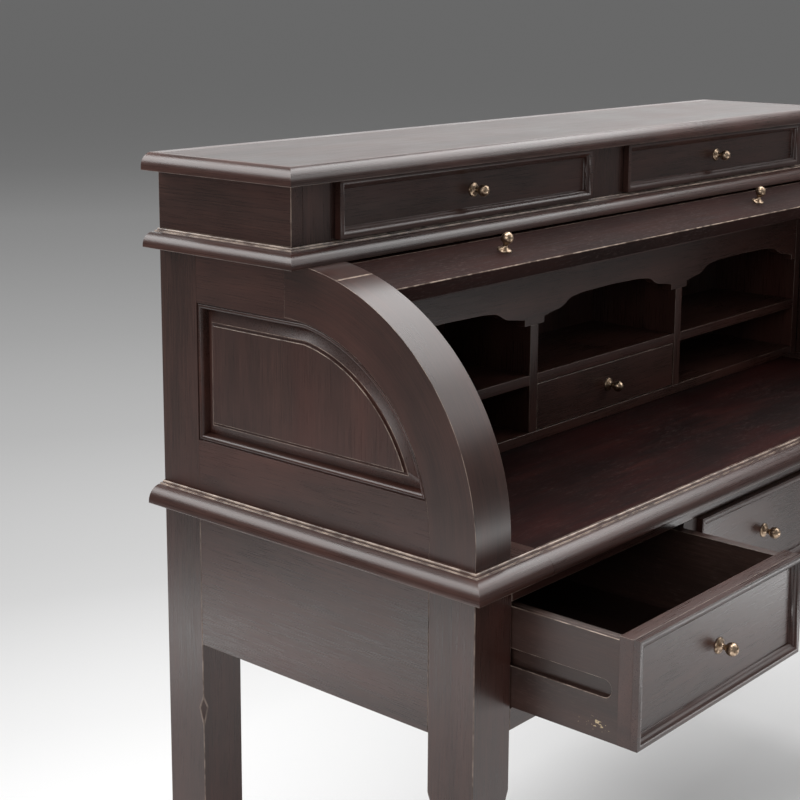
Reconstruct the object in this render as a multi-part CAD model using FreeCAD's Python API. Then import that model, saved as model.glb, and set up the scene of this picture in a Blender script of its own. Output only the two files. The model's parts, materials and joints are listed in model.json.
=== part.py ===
import FreeCAD
import Part
import math
import os

# Roll top desk. All sizes in millimetres.
# +X runs along the width to the user's right, +Y runs from front to back, +Z is up.
# Origin: on the floor, in the middle of the box round the desk as it stands, with its lower
# left drawer pulled out. The pieces are drawn with Y measured from the legs' front faces,
# and save() moves each one to that origin.

# ---- driving sizes -------------------------------------------------------------------------
overall_width = 1440.0          # over the legs and over the case sides
body_depth = 570.0              # leg front faces to the back
writing_height = 770.0          # floor to the writing surface
leg_size = 74.0                 # square legs
moulding_overhang = 31.0        # how far each rounded edge stands out
top_thickness = 28.0            # desk top and its rounded edge
apron_height = 203.0            # side aprons, below the desk top
front_rail_height = 30.0        # rails above and below the lower drawers
roll_radius = 325.0             # outer face of the curved side rails
roll_centre_rise = 20.0         # arc centre above the writing surface
curved_rail_width = 70.0        # width of the curved rails across the desk
frame_member = 74.0             # stiles and rails of the side frames
side_frame_thickness = 28.0
middle_thickness = 24.0         # middle board and its rounded edge
upper_case_height = 83.0
case_setback = 14.0             # upper case front, forward of the arc centre
top_board_thickness = 24.0
back_thickness = 6.0            # back panels
lid_step = 4.5                  # lid face lies this far inside the curved rails' face
lid_thickness = 24.0
lid_open_front_angle = 66.5     # front edge of the open lid, measured up from the arc centre
leaf_margin = 120.0             # from the case side to the edge of the writing leaf
unit_ahead = 31.0               # pigeonhole unit: front plane, forward of the arc centre
unit_board = 20.0               # upright boards of the pigeonhole unit
shelf_thickness = 16.0
centre_bay_width = 398.0
shelf_top = 108.5               # top of the shelves above the writing surface
drawer_divider_width = 36.0     # between the lower drawers
end_stile_width = 81.5          # upper case, each side of the drawers
centre_stile_width = 98.0       # upper case, between the two drawers
left_drawer_pulled = 179.5      # the lower left drawer stands open by this much
leaf_travel = 240.0             # how far the writing leaf slides forward
front_board = 20.0              # drawer front, upper and lower drawers
inner_front_board = 14.0        # front of the small drawer in the pigeonhole unit
knob_plate_radius = 11.0
knob_ball_radius = 8.75
knob_ball_centre = 19.0         # ball centre, off the face that the knob is screwed to

# ---- clearances ----------------------------------------------------------------------------
drawer_gap = 1.5                # drawer to opening, each side
leaf_gap = 0.7                  # writing leaf to its neighbours
lid_side_gap = 1.0              # lid end to curved rail
lid_groove_gap = 0.35           # tongue in its groove, each face
lid_back_gap = 1.5              # lid tail to back panel when open
lid_crown_gap = 1.0             # lid to the underside of the middle board
lid_unit_gap = 3.75             # lid to the back top edge of the pigeonhole unit
stop_gap = 0.4                  # a moving piece and what it comes to rest on
runner_gap = 0.6                # drawer runner in its groove, each face
screw_fit = 0.05                # screw shank in its hole, on radius

# ---- levels and planes that several pieces share -------------------------------------------
half_width = overall_width / 2.0
top_under = writing_height - top_thickness
apron_bottom = top_under - apron_height
arc_y = roll_radius
arc_z = writing_height + roll_centre_rise
lid_outer = roll_radius - lid_step
lid_inner = lid_outer - lid_thickness
middle_bottom = arc_z + lid_outer + lid_crown_gap
middle_top = middle_bottom + middle_thickness
case_top = middle_top + upper_case_height
desk_height = case_top + top_board_thickness
case_front = arc_y - case_setback
back_inner = body_depth - back_thickness
rail_inner_radius = roll_radius - frame_member
unit_front = arc_y - unit_ahead
unit_depth = (back_inner - unit_front) * 2.0 / 3.0
unit_back = unit_front + unit_depth
unit_height = roll_centre_rise + math.sqrt((lid_inner - lid_unit_gap) ** 2 - (unit_back - arc_y) ** 2)
tongue_outer = lid_outer - 10.0
tongue_inner = tongue_outer - 8.0
groove_outer = tongue_outer + lid_groove_gap
groove_inner = tongue_inner - lid_groove_gap
groove_depth = 10.0
inner_half = half_width - curved_rail_width
lid_closed_front_angle = -math.degrees(math.asin((roll_centre_rise - stop_gap) / lid_outer))
lid_travel = lid_open_front_angle - lid_closed_front_angle
tail_reach = (back_inner - lid_back_gap - arc_y) / lid_outer
lid_open_tail_angle = 180.0 - math.degrees(math.acos(tail_reach))
lid_closed_tail_angle = lid_open_tail_angle - lid_travel
knob_reach = knob_ball_centre + knob_ball_radius
foremost = -max(left_drawer_pulled + knob_reach, moulding_overhang)
plan_middle = (foremost + body_depth) / 2.0

os.makedirs("parts", exist_ok=True)


def save(name, solids):
    """Write one node at its place from the origin; a list of pieces becomes a group of solids."""
    pieces = solids if isinstance(solids, list) else [solids]
    flat = []
    for piece in pieces:
        for solid in piece.Solids:
            placed = solid.copy()
            placed.translate(FreeCAD.Vector(0, -plan_middle, 0))
            flat.append(placed)
    shape = flat[0] if len(flat) == 1 else Part.makeCompound(flat)
    shape.exportStep("parts/" + name + ".step")


def block(x0, y0, z0, x1, y1, z1):
    """Straight board between two opposite corners."""
    return Part.makeBox(x1 - x0, y1 - y0, z1 - z0, FreeCAD.Vector(x0, y0, z0))


def mirrored(shape):
    """The same piece for the other end of the desk."""
    return shape.mirror(FreeCAD.Vector(0, 0, 0), FreeCAD.Vector(1, 0, 0))


def plate(points, direction):
    """Flat piece from a closed outline of points, thickened along direction."""
    wire = Part.makePolygon([FreeCAD.Vector(*p) for p in points + points[:1]])
    return Part.Face(wire).extrude(FreeCAD.Vector(*direction))


def arc_point(radius, angle, x=0.0):
    """Point on a circle about the roll's arc centre; angle 0 is straight to the front."""
    a = math.radians(angle)
    return FreeCAD.Vector(x, arc_y - radius * math.cos(a), arc_z + radius * math.sin(a))


def ring_sector(inner, outer, start, end, x0, x1):
    """Curved board about the roll's arc centre, running across the desk from x0 to x1."""
    middle = (start + end) / 2.0
    edges = [
        Part.Arc(arc_point(outer, start, x0), arc_point(outer, middle, x0), arc_point(outer, end, x0)).toShape(),
        Part.LineSegment(arc_point(outer, end, x0), arc_point(inner, end, x0)).toShape(),
        Part.Arc(arc_point(inner, end, x0), arc_point(inner, middle, x0), arc_point(inner, start, x0)).toShape(),
        Part.LineSegment(arc_point(inner, start, x0), arc_point(outer, start, x0)).toShape(),
    ]
    return Part.Face(Part.Wire(edges)).extrude(FreeCAD.Vector(x1 - x0, 0, 0))


def round_bar(radius, length, start, direction):
    """Cylinder from a start point along a direction."""
    return Part.makeCylinder(radius, length, FreeCAD.Vector(*start), FreeCAD.Vector(*direction))


# ---- rounded edge mouldings ----------------------------------------------------------------
# Profile in (out, down): out is measured from the case face, down from the board's top. A small
# bead and a flat fillet lie on top, then a quarter round falls to a square lower lip.
bead_width = 4.0
fillet_out = 9.0
fillet_drop = 4.0
lip_height = 2.0
lip_chamfer = 0.8


def edge_face(thickness, place, beaded=True, root=0.0):
    """Cross-section of an edge moulding; place turns (out, height) into a point."""
    top = -fillet_drop if beaded else 0.0
    inner_end = fillet_out if beaded else root + 1.5
    radius = min(thickness + top - lip_height, moulding_overhang - inner_end - 0.5)
    straight = moulding_overhang - radius
    slant = radius * math.sqrt(0.5)
    shoulder = place(straight + slant, top - radius + slant)
    edges = [Part.Arc(place(straight, top), shoulder, place(moulding_overhang, top - radius)).toShape()]
    path = [(moulding_overhang, top - radius), (moulding_overhang, lip_chamfer - thickness),
            (moulding_overhang - lip_chamfer, -thickness), (root, -thickness)]
    if beaded:
        path += [(root, 0.0), (1.8, 0.0)]
    else:
        path += [(root, -1.5), (root + 1.5, 0.0), (straight, 0.0)]
    for start, end in zip(path[:-1], path[1:]):
        edges.append(Part.LineSegment(place(*start), place(*end)).toShape())
    if beaded:
        edges.append(Part.Arc(place(1.8, 0.0), place(3.3, -0.6), place(bead_width, -2.2)).toShape())
        path = [(bead_width, -2.2), (fillet_out, -2.2), (fillet_out, top), (straight, top)]
        for start, end in zip(path[:-1], path[1:]):
            edges.append(Part.LineSegment(place(*start), place(*end)).toShape())
    return Part.Face(Part.Wire(edges))


def mitre_block(corners, z0, z1):
    """Tall block over a plan outline, used to cut the mitred ends."""
    return plate([(x, y, z0) for x, y in corners], (0, 0, z1 - z0))


def side_moulding(front, top, thickness, beaded=True, root=0.0, back=body_depth, back_mitre=False):
    """Left side edge, mitred at the front corner."""
    out = moulding_overhang
    edge = -half_width

    def place(o, h):
        return FreeCAD.Vector(edge - o, front - out - 5, top + h)

    long_piece = edge_face(thickness, place, beaded, root).extrude(
        FreeCAD.Vector(0, back - front + out + 5, 0))
    corners = [(edge - root, front - root), (edge - out - 1, front - out - 1)]
    corners += [(edge - out - 1, back), (edge - root, back)]
    return long_piece.common(mitre_block(corners, top - thickness - 1, top + 1))


def front_moulding(front, top, thickness, x_left, x_right, mitre_left, mitre_right, beaded=True,
                   root=0.0):
    """Front edge from x_left to x_right, with a mitre at either end where asked."""
    out = moulding_overhang

    def place(o, h):
        return FreeCAD.Vector(-half_width - out - 5, front - o, top + h)

    long_piece = edge_face(thickness, place, beaded, root).extrude(
        FreeCAD.Vector(overall_width + 2 * out + 10, 0, 0))
    near = out + 1 if mitre_left else 0.0
    far = out + 1 if mitre_right else 0.0
    near_root = root if mitre_left else 0.0
    far_root = root if mitre_right else 0.0
    corners = [(x_left - near_root, front - root), (x_left - near, front - out - 1)]
    corners += [(x_right + far, front - out - 1), (x_right + far_root, front - root)]
    return long_piece.common(mitre_block(corners, top - thickness - 1, top + 1))


# ---- legs, aprons and rails ----------------------------------------------------------------
# Each leg carries a small carved diamond on its inner edges, below the apron.
notch_half_height = 23.0
notch_half_width = 8.0
notch_level = top_under - apron_height - 103.0


def diamond_cut(x, y, z, along_x, along_y):
    """Three-sided cut across a vertical edge; along_x and along_y point into the leg."""
    a = (x, y, z + notch_half_height)
    b = (x + along_x * notch_half_width, y, z + 4)
    c = (x, y + along_y * notch_half_width, z + 4)
    d = (x, y, z - notch_half_height)
    outside = (x - along_x * 2, y - along_y * 2, z)
    faces = []
    for tri in ((a, b, c), (b, d, c), (a, outside, b), (a, c, outside), (d, b, outside), (d, outside, c)):
        wire = Part.makePolygon([FreeCAD.Vector(*p) for p in (tri[0], tri[1], tri[2], tri[0])])
        faces.append(Part.Face(wire))
    return Part.makeSolid(Part.makeShell(faces))


def notched(leg, x, y, along_x, along_y):
    return leg.cut(diamond_cut(x, y, notch_level, along_x, along_y))


left = -half_width
leg_in = left + leg_size
rear_leg_front = body_depth - leg_size
leg_front = block(left, 0, 0, leg_in, leg_size, top_under)
leg_front = notched(leg_front, left, leg_size, 1, -1)
leg_front = notched(leg_front, leg_in, 0, -1, 1)
leg_rear = block(left, rear_leg_front, 0, leg_in, body_depth, top_under)
leg_rear = notched(leg_rear, left, rear_leg_front, 1, 1)
save("leg_front_left", leg_front)
save("leg_front_right", mirrored(leg_front))
save("leg_rear_left", leg_rear)
save("leg_rear_right", mirrored(leg_rear))

apron_thickness = 24.0
apron_side = block(left, leg_size, apron_bottom, left + apron_thickness, rear_leg_front, top_under)
save("apron_left", apron_side)
save("apron_right", mirrored(apron_side))
save("apron_back", block(leg_in, body_depth - apron_thickness, apron_bottom, -leg_in, body_depth, top_under))

front_rail_depth = 26.0
lower_rail_top = apron_bottom + front_rail_height
upper_rail_bottom = top_under - front_rail_height
save("front_lower_rail", block(leg_in, 0, apron_bottom, -leg_in, front_rail_depth, lower_rail_top))
save("front_upper_rail", block(leg_in, 0, upper_rail_bottom, -leg_in, front_rail_depth, top_under))

# Lower drawers: three equal openings between the legs, with a divider between each two.
opening_width = (overall_width - 2 * leg_size - 2 * drawer_divider_width) / 3.0
opening_starts = []
for number in range(3):
    opening_starts.append(leg_in + number * (opening_width + drawer_divider_width))
apron_back_front = body_depth - apron_thickness

partition_thickness = 18.0
partitions = []
for number in (1, 2):
    x1 = opening_starts[number]
    x0 = x1 - drawer_divider_width
    centre = (x0 + x1) / 2.0
    partitions.append(block(x0, 0, lower_rail_top, x1, front_rail_depth, upper_rail_bottom))
    partitions.append(block(x0, front_rail_depth, apron_bottom, x0 + partition_thickness,
                            apron_back_front, top_under))
    partitions.append(block(x1 - partition_thickness, front_rail_depth, apron_bottom, x1,
                            apron_back_front, top_under))
save("drawer_partitions", partitions)

# Guide boards close the space between the legs; the runner strips stand on them.
guide = block(leg_in - partition_thickness, leg_size, apron_bottom, leg_in, rear_leg_front, top_under)
runner_height = 22.0
runner_reach = 8.0
drawer_side_thickness = 16.0
lower_drawer_bottom = lower_rail_top + drawer_gap
lower_drawer_top = upper_rail_bottom - drawer_gap
runner_level = (lower_drawer_bottom + lower_drawer_top - 5.0) / 2.0
groove_setback = 9.0            # from the back of the drawer front to the groove's rounded end
runner_front = front_board + groove_setback + runner_height / 2.0 + runner_gap + stop_gap
runner_back = apron_back_front
runners = [guide, mirrored(guide)]
for start in opening_starts:
    for x0, x1 in ((start, start + runner_reach), (start + opening_width - runner_reach, start + opening_width)):
        runners.append(block(x0, runner_front, runner_level - runner_height / 2.0,
                             x1, runner_back, runner_level + runner_height / 2.0))
save("drawer_runners", runners)

# ---- desk top: fixed end boards, rear board and rounded edges -------------------------------
leaf_left = left + leaf_margin
leaf_back = 505.0 * body_depth / 570.0
tongue_half = 4.0
tongue_reach = 10.0
leaf_stop = 8.0                 # the open leaf's tongues end this far behind the front edge
leaf_mid = writing_height - top_thickness / 2.0
end_board = block(left, 0, top_under, leaf_left, body_depth, writing_height)
leaf_groove = block(leaf_left - tongue_reach - leaf_gap, leaf_stop - stop_gap, leaf_mid - tongue_half - 0.5,
                    leaf_left + 1, leaf_back + 1.0, leaf_mid + tongue_half + 0.5)
end_board = end_board.cut(leaf_groove)
save("top_end_board_left", end_board)
save("top_end_board_right", mirrored(end_board))
rear_board_front = leaf_back + 1.0
save("top_rear_board", block(leaf_left, rear_board_front, top_under, -leaf_left, body_depth, writing_height))

edge_side = side_moulding(0.0, writing_height, top_thickness)
edge_front = front_moulding(0.0, writing_height, top_thickness, left, leaf_left, True, False)
save("top_edge_left", [edge_side, edge_front])
save("top_edge_right", [mirrored(edge_side), mirrored(edge_front)])

# ---- writing leaf: slides forward between the end boards -----------------------------------
leaf_top = writing_height - 0.5
leaf_under = top_under + stop_gap
leaf_x0 = leaf_left + leaf_gap
# The tongues start far enough back to stay behind the fixed front edge when the leaf is out.
leaf_tongue_front = leaf_travel + leaf_stop
leaf_board = block(leaf_x0, 0, leaf_under, -leaf_x0, leaf_back, leaf_top)
for side in (-1, 1):
    x0 = leaf_x0 - tongue_reach if side < 0 else -leaf_x0
    leaf_board = leaf_board.fuse(block(x0, leaf_tongue_front, leaf_mid - tongue_half, x0 + tongue_reach,
                                       leaf_back, leaf_mid + tongue_half))
save("writing_leaf_board", leaf_board.removeSplitter())
leaf_nose = front_moulding(0.0, leaf_top, top_thickness - 0.5, leaf_x0, -leaf_x0, False, False)
save("writing_leaf_nose", leaf_nose)

# ---- sides of the roll section -------------------------------------------------------------
opening_back = body_depth - frame_member
opening_bottom = writing_height + frame_member - 1.0
opening_top = arc_z + rail_inner_radius - 2.5
foot_angle = -math.degrees(math.asin(roll_centre_rise / roll_radius))


def opening_wire(inset, x):
    """Outline of the side panel opening, shrunk by inset, in the plane at x."""
    radius = rail_inner_radius - inset
    low = opening_bottom + inset
    high = opening_top - inset
    back = opening_back - inset
    low_y = arc_y - math.sqrt(radius ** 2 - (low - arc_z) ** 2)
    high_y = arc_y - math.sqrt(radius ** 2 - (high - arc_z) ** 2)
    low_angle = math.degrees(math.atan2(low - arc_z, arc_y - low_y))
    high_angle = math.degrees(math.atan2(high - arc_z, arc_y - high_y))
    v = FreeCAD.Vector
    edges = [
        Part.LineSegment(v(x, back, high), v(x, back, low)).toShape(),
        Part.LineSegment(v(x, back, low), v(x, low_y, low)).toShape(),
        Part.Arc(v(x, low_y, low), arc_point(radius, (low_angle + high_angle) / 2.0, x),
                 v(x, high_y, high)).toShape(),
        Part.LineSegment(v(x, high_y, high), v(x, back, high)).toShape(),
    ]
    return Part.Wire(edges)


def opening_slab(inset, x0, x1):
    return Part.Face(opening_wire(inset, x0)).extrude(FreeCAD.Vector(x1 - x0, 0, 0))


rail_in = left + curved_rail_width
section = block(left, 0, writing_height, rail_in, arc_y, middle_bottom)
curved_rail = ring_sector(rail_inner_radius, roll_radius, foot_angle - 10, 90.0, left, rail_in)
curved_rail = curved_rail.common(section)
lid_groove = ring_sector(groove_inner, groove_outer, foot_angle - 20, 90.5, rail_in - groove_depth, rail_in + 1)
curved_rail = curved_rail.cut(lid_groove)
save("curved_rail_left", curved_rail)
save("curved_rail_right", mirrored(curved_rail))

frame_x1 = left + side_frame_thickness
rear_stile = block(left, opening_back, writing_height, frame_x1, body_depth, middle_bottom)
top_rail = block(left, arc_y, opening_top, frame_x1, opening_back, middle_bottom)
filler = ring_sector(0.1, rail_inner_radius, 0.5, 90.0, left, frame_x1)
filler = filler.common(block(left, 0, opening_top, frame_x1, arc_y, middle_bottom))
top_rail = top_rail.fuse(filler).removeSplitter()
bottom_rail = block(left, 0, writing_height, frame_x1, opening_back, opening_bottom)
inside_arc = ring_sector(0.1, rail_inner_radius, -30.0, 90.0, left, frame_x1)
behind_arc = block(left, arc_y, writing_height, frame_x1, opening_back, opening_bottom)
bottom_rail = bottom_rail.common(inside_arc.fuse(behind_arc)).removeSplitter()
bottom_rail = bottom_rail.fuse(behind_arc).removeSplitter()
# Inner lining, flush with the curved rail's inner face, from the rail to the pigeonhole unit.
lining = ring_sector(0.1, rail_inner_radius, -30.0, 90.0, rail_in - 8.0, rail_in)
lining = lining.common(block(left, 0, writing_height, rail_in, unit_front, middle_bottom))
side_frame = [rear_stile, top_rail, bottom_rail, lining]
save("side_frame_left", side_frame)
save("side_frame_right", [mirrored(piece) for piece in side_frame])

# Raised panel: thick field, wide sloping margin, and a moulded strip round the opening.
panel_back = left + 22.0
strip_width = 9.0
field_inset = 29.0
panel_tongue = opening_slab(0.0, left + 14.0, panel_back)
margin = Part.makeLoft([opening_wire(strip_width, left + 14.0), opening_wire(field_inset - 4.0, left + 5.5)],
                       True, True)
field = opening_slab(field_inset, left + 2.5, left + 14.0)
step = opening_slab(field_inset - 4.0, left + 5.5, left + 14.0)
raised_panel = panel_tongue.fuse(margin).fuse(step).fuse(field).removeSplitter()
strip = opening_slab(0.0, left + 2.0, left + 14.0)
strip_hollow = Part.makeLoft([opening_wire(1.5, left + 1.9), opening_wire(strip_width, left + 14.1)], True, True)
strip = strip.cut(strip_hollow)
save("side_panel_left", [raised_panel, strip])
save("side_panel_right", [mirrored(raised_panel), mirrored(strip)])

# Rear guides carry the lid's tongues on from the curved rails to the back.
guide_outer = roll_radius - lid_step
guide_inner = groove_inner - 14.0
rear_guide = ring_sector(guide_inner, guide_outer, 90.0, lid_open_tail_angle + 6.0, frame_x1, rail_in)
rear_guide = rear_guide.common(block(frame_x1, arc_y, writing_height, rail_in, back_inner, middle_bottom))
rear_groove = ring_sector(groove_inner, groove_outer, 89.0, lid_open_tail_angle + 0.3,
                          rail_in - groove_depth, rail_in + 1)
rear_guide = rear_guide.cut(rear_groove)
save("lid_rear_guides", [rear_guide, mirrored(rear_guide)])

save("back_panels", [
    block(frame_x1, back_inner, writing_height, -frame_x1, body_depth, middle_bottom),
    block(left + 22.0, back_inner, middle_top, -left - 22.0, body_depth, case_top),
])

# ---- middle board and upper drawer case ----------------------------------------------------
save("middle_board", block(left, case_front, middle_bottom, half_width, body_depth, middle_top))
middle_side = side_moulding(case_front, middle_top, middle_thickness)
middle_front = front_moulding(case_front, middle_top, middle_thickness, left, half_width, True, True)
save("middle_edge", [middle_front, middle_side, mirrored(middle_side)])

stile_thickness = 22.0
case_side = block(left, case_front, middle_top, left + 22.0, body_depth, case_top)
end_stile = block(left + 22.0, case_front, middle_top, left + end_stile_width,
                  case_front + stile_thickness, case_top)
drawer_guide = block(left + end_stile_width - 18.0, case_front + stile_thickness, middle_top,
                     left + end_stile_width, back_inner, middle_top + 40.0)
save("upper_case_left", [case_side, end_stile, drawer_guide])
save("upper_case_right", [mirrored(case_side), mirrored(end_stile), mirrored(drawer_guide)])
half_stile = centre_stile_width / 2.0
save("upper_case_centre", [
    block(-half_stile, case_front, middle_top, half_stile, case_front + stile_thickness, case_top),
    block(-half_stile, case_front + stile_thickness, middle_top, -half_stile + 18.0, back_inner, case_top),
    block(half_stile - 18.0, case_front + stile_thickness, middle_top, half_stile, back_inner, case_top),
])

# Top: flat panel with a rounded edge on three sides and a plain strip along the back.
panel_out = 10.0
back_strip = 22.0
top_panel = block(left - panel_out, case_front - panel_out, case_top, half_width + panel_out,
                  body_depth - back_strip, desk_height)
top_edges = []
for edge in top_panel.Edges:
    box = edge.BoundBox
    if box.ZMin > desk_height - 0.01:
        top_edges.append(edge)
top_panel = top_panel.makeChamfer(1.5, top_edges)
save("top_panel", top_panel)
cap_side = side_moulding(case_front, desk_height, top_board_thickness, False, panel_out)
cap_front = front_moulding(case_front, desk_height, top_board_thickness, left, half_width, True, True,
                           False, panel_out)
cap_back = block(left - panel_out, body_depth - back_strip, case_top, half_width + panel_out,
                 body_depth, desk_height)
back_groove_edges = []
for edge in cap_back.Edges:
    box = edge.BoundBox
    if box.ZMin > desk_height - 0.01 and box.YMax < body_depth - back_strip + 0.01:
        back_groove_edges.append(edge)
cap_back = cap_back.makeChamfer(1.5, back_groove_edges)
save("top_edge_moulding", [cap_front, cap_side, mirrored(cap_side), cap_back])

# ---- pigeonhole unit -----------------------------------------------------------------------
unit_x = inner_half - 2.0
unit_top = writing_height + unit_height
unit_base = writing_height
half_bay = centre_bay_width / 2.0
unit_back_board = 8.0
carcass = [
    block(-unit_x, unit_front, unit_base, -unit_x + unit_board, unit_back, unit_top),
    block(unit_x - unit_board, unit_front, unit_base, unit_x, unit_back, unit_top),
    block(-unit_x + unit_board, unit_front, unit_base, unit_x - unit_board, unit_back, unit_base + shelf_thickness),
    block(-unit_x + unit_board, unit_front + 18.0, unit_top - shelf_thickness, unit_x - unit_board,
          unit_back, unit_top),
    block(-unit_x + unit_board, unit_back - unit_back_board, unit_base + shelf_thickness,
          unit_x - unit_board, unit_back, unit_top - shelf_thickness),
]
save("pigeonhole_carcass", carcass)
bay_floor = unit_base + shelf_thickness
bay_back = unit_back - unit_back_board
valance_low = 187.0 * unit_height / 272.0 + writing_height
valance_thickness = 18.0
dividers = []
for side in (-1, 1):
    x0 = side * half_bay if side > 0 else -half_bay - unit_board
    divider = block(x0, unit_front, bay_floor, x0 + unit_board, bay_back, unit_top - shelf_thickness)
    divider = divider.cut(block(x0 - 1, unit_front - 1, valance_low, x0 + unit_board + 1,
                                unit_front + valance_thickness, unit_top))
    dividers.append(divider)
save("pigeonhole_dividers", dividers)
shelf_high = writing_height + shelf_top
shelf_low = shelf_high - shelf_thickness
side_bay_left = -unit_x + unit_board
side_bay_right = -half_bay - unit_board
shelf_side = block(side_bay_left, unit_front, shelf_low, side_bay_right, bay_back, shelf_high)
save("pigeonhole_shelves", [
    shelf_side,
    block(-half_bay, unit_front, shelf_low, half_bay, bay_back, shelf_high),
    mirrored(shelf_side),
])

# Scalloped valance: one long board with a shaped cut over each bay.
valance_scale = unit_height / 272.0


def scallop(x0, x1):
    """Cut-out over one bay: small step, ogee shoulder, long shallow arch."""
    heights = ((15.0, 187.0), (15.0, 197.0), (40.0, 201.0), (56.0, 203.5), (68.0, 208.5), (80.0, 214.5),
               (98.0, 218.0), (130.0, 220.5))
    points = [(x0, 180.0), (x0, 187.0)]
    for out, height in heights:
        points.append((x0 + out, height))
    points.append(((x0 + x1) / 2.0, 222.0))
    for out, height in reversed(heights):
        points.append((x1 - out, height))
    points.append((x1, 187.0))
    points.append((x1, 180.0))
    outline = []
    for x, height in points:
        outline.append((x, unit_front - 1, writing_height + height * valance_scale))
    return plate(outline, (0, valance_thickness + 2, 0))


valance = block(-unit_x + unit_board, unit_front, valance_low, unit_x - unit_board,
                unit_front + valance_thickness, unit_top)
valance = valance.cut(scallop(side_bay_left, side_bay_right))
valance = valance.cut(scallop(-half_bay, half_bay))
valance = valance.cut(scallop(-side_bay_right, -side_bay_left))
save("valance", valance)

# Closing board behind the lid: fills the space above the shut lid, with its bearer on the unit.
closing_outer = lid_inner - 3.0
closing_inner = closing_outer - 10.0
closing_start = lid_open_front_angle + 2.5
closing_board = ring_sector(closing_inner, closing_outer, closing_start, 88.0, -inner_half, inner_half)
bearer = block(-unit_x, unit_front + 4.0, unit_top, unit_x, unit_front + 28.0, arc_z + closing_inner + 20.0)
bearer_cut = ring_sector(closing_inner, closing_inner + 80.0, 60.0, 110.0, -unit_x - 1, unit_x + 1)
bearer = bearer.cut(bearer_cut)
save("lid_closing_board", [closing_board, bearer])

# ---- lid: curved panel with a front rail, tongues and two knobs ----------------------------
lid_half = inner_half - lid_side_gap
lid_split = 12.0
opening_turn = -lid_travel
arc_centre = FreeCAD.Vector(0, arc_y, arc_z)
across = FreeCAD.Vector(1, 0, 0)


def opened(shape):
    """Turn a piece drawn on the shut lid into its open place."""
    turned = shape.copy()
    turned.rotate(arc_centre, across, opening_turn)
    return turned


above_desk = block(-half_width, -50, writing_height + stop_gap, half_width, body_depth, desk_height)
front_rail = ring_sector(lid_inner, lid_outer, -10.0, lid_split, -lid_half, lid_half).common(above_desk)
lid_panel = ring_sector(lid_inner, lid_outer, lid_split, lid_closed_tail_angle, -lid_half, lid_half)
tongue_start = 1.0
tongue = ring_sector(tongue_inner, tongue_outer, tongue_start, lid_closed_tail_angle,
                     -lid_half - groove_depth + 0.7 + lid_side_gap, -lid_half)
tongues = [tongue, mirrored(tongue)]

# ---- brass knobs ---------------------------------------------------------------------------
screw_radius = 2.0
screw_length = 26.0


def knob_shape():
    """Round plate, waisted neck and ball, standing on the origin along +Z."""
    v = FreeCAD.Vector
    neck = 3.6
    start_height = knob_ball_centre - math.sqrt(knob_ball_radius ** 2 - neck ** 2)
    edges = [
        Part.LineSegment(v(0, 0, 0), v(knob_plate_radius, 0, 0)).toShape(),
        Part.LineSegment(v(knob_plate_radius, 0, 0), v(knob_plate_radius, 0, 1.4)).toShape(),
        Part.Arc(v(knob_plate_radius, 0, 1.4), v(8.6, 0, 3.1), v(5.4, 0, 4.0)).toShape(),
        Part.Arc(v(5.4, 0, 4.0), v(3.9, 0, 6.4), v(neck, 0, start_height)).toShape(),
        Part.Arc(v(neck, 0, start_height), v(knob_ball_radius, 0, knob_ball_centre),
                 v(0, 0, knob_ball_centre + knob_ball_radius)).toShape(),
        Part.LineSegment(v(0, 0, knob_ball_centre + knob_ball_radius), v(0, 0, 0)).toShape(),
    ]
    return Part.Face(Part.Wire(edges)).revolve(v(0, 0, 0), v(0, 0, 1), 360)


def screw_shape(board):
    """Screw through a board of the given thickness, head against the back of the board."""
    shank = round_bar(screw_radius, board + 6.0, (0, 0, -board), (0, 0, 1))
    head = Part.makeCone(4.2, 3.2, 2.4, FreeCAD.Vector(0, 0, -board), FreeCAD.Vector(0, 0, -1))
    return shank.fuse(head)


def knob_set(board):
    screw = screw_shape(board)
    bore = round_bar(screw_radius, 6.0, (0, 0, 0), (0, 0, 1))
    return [knob_shape().cut(bore), screw]


def screw_hole(board):
    return round_bar(screw_radius + screw_fit, board + 2.0, (0, 0, -board - 1.0), (0, 0, 1))


def put(shape, position, tilt):
    """Turn a +Z piece about X by tilt degrees and move it to position."""
    placed = shape.copy()
    placed.rotate(FreeCAD.Vector(0, 0, 0), across, tilt)
    placed.translate(FreeCAD.Vector(*position))
    return placed


lid_knob_x = 0.2535 * overall_width
knob_flat_depth = 0.15          # flat spot under each knob plate, on the curved rail
head_gap = 0.05                 # screw head, off the hollow back of the rail
lid_knob_angle = 7.4 + lid_closed_front_angle
lid_knobs = []
for side in (-1, 1):
    spot = arc_point(lid_outer - knob_flat_depth, lid_knob_angle, side * lid_knob_x)
    flat = Part.makeCylinder(knob_plate_radius + 0.6, 3.0, spot, FreeCAD.Vector(
        0, -math.cos(math.radians(lid_knob_angle)), math.sin(math.radians(lid_knob_angle))))
    front_rail = front_rail.cut(flat)
    front_rail = front_rail.cut(put(screw_hole(lid_thickness), tuple(spot), 90.0 - lid_knob_angle))
    for piece in knob_set(lid_thickness - knob_flat_depth + head_gap):
        lid_knobs.append(put(piece, tuple(spot), 90.0 - lid_knob_angle))
save("lid_front_rail", opened(front_rail))
save("lid_panel", opened(lid_panel))
save("lid_tongues", [opened(piece) for piece in tongues])
save("lid_knobs", [opened(piece) for piece in lid_knobs])

# ---- drawers -------------------------------------------------------------------------------
bead_proud = 10.5
bead_frame_width = 15.0
drawer_bottom_thickness = 6.0


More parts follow.
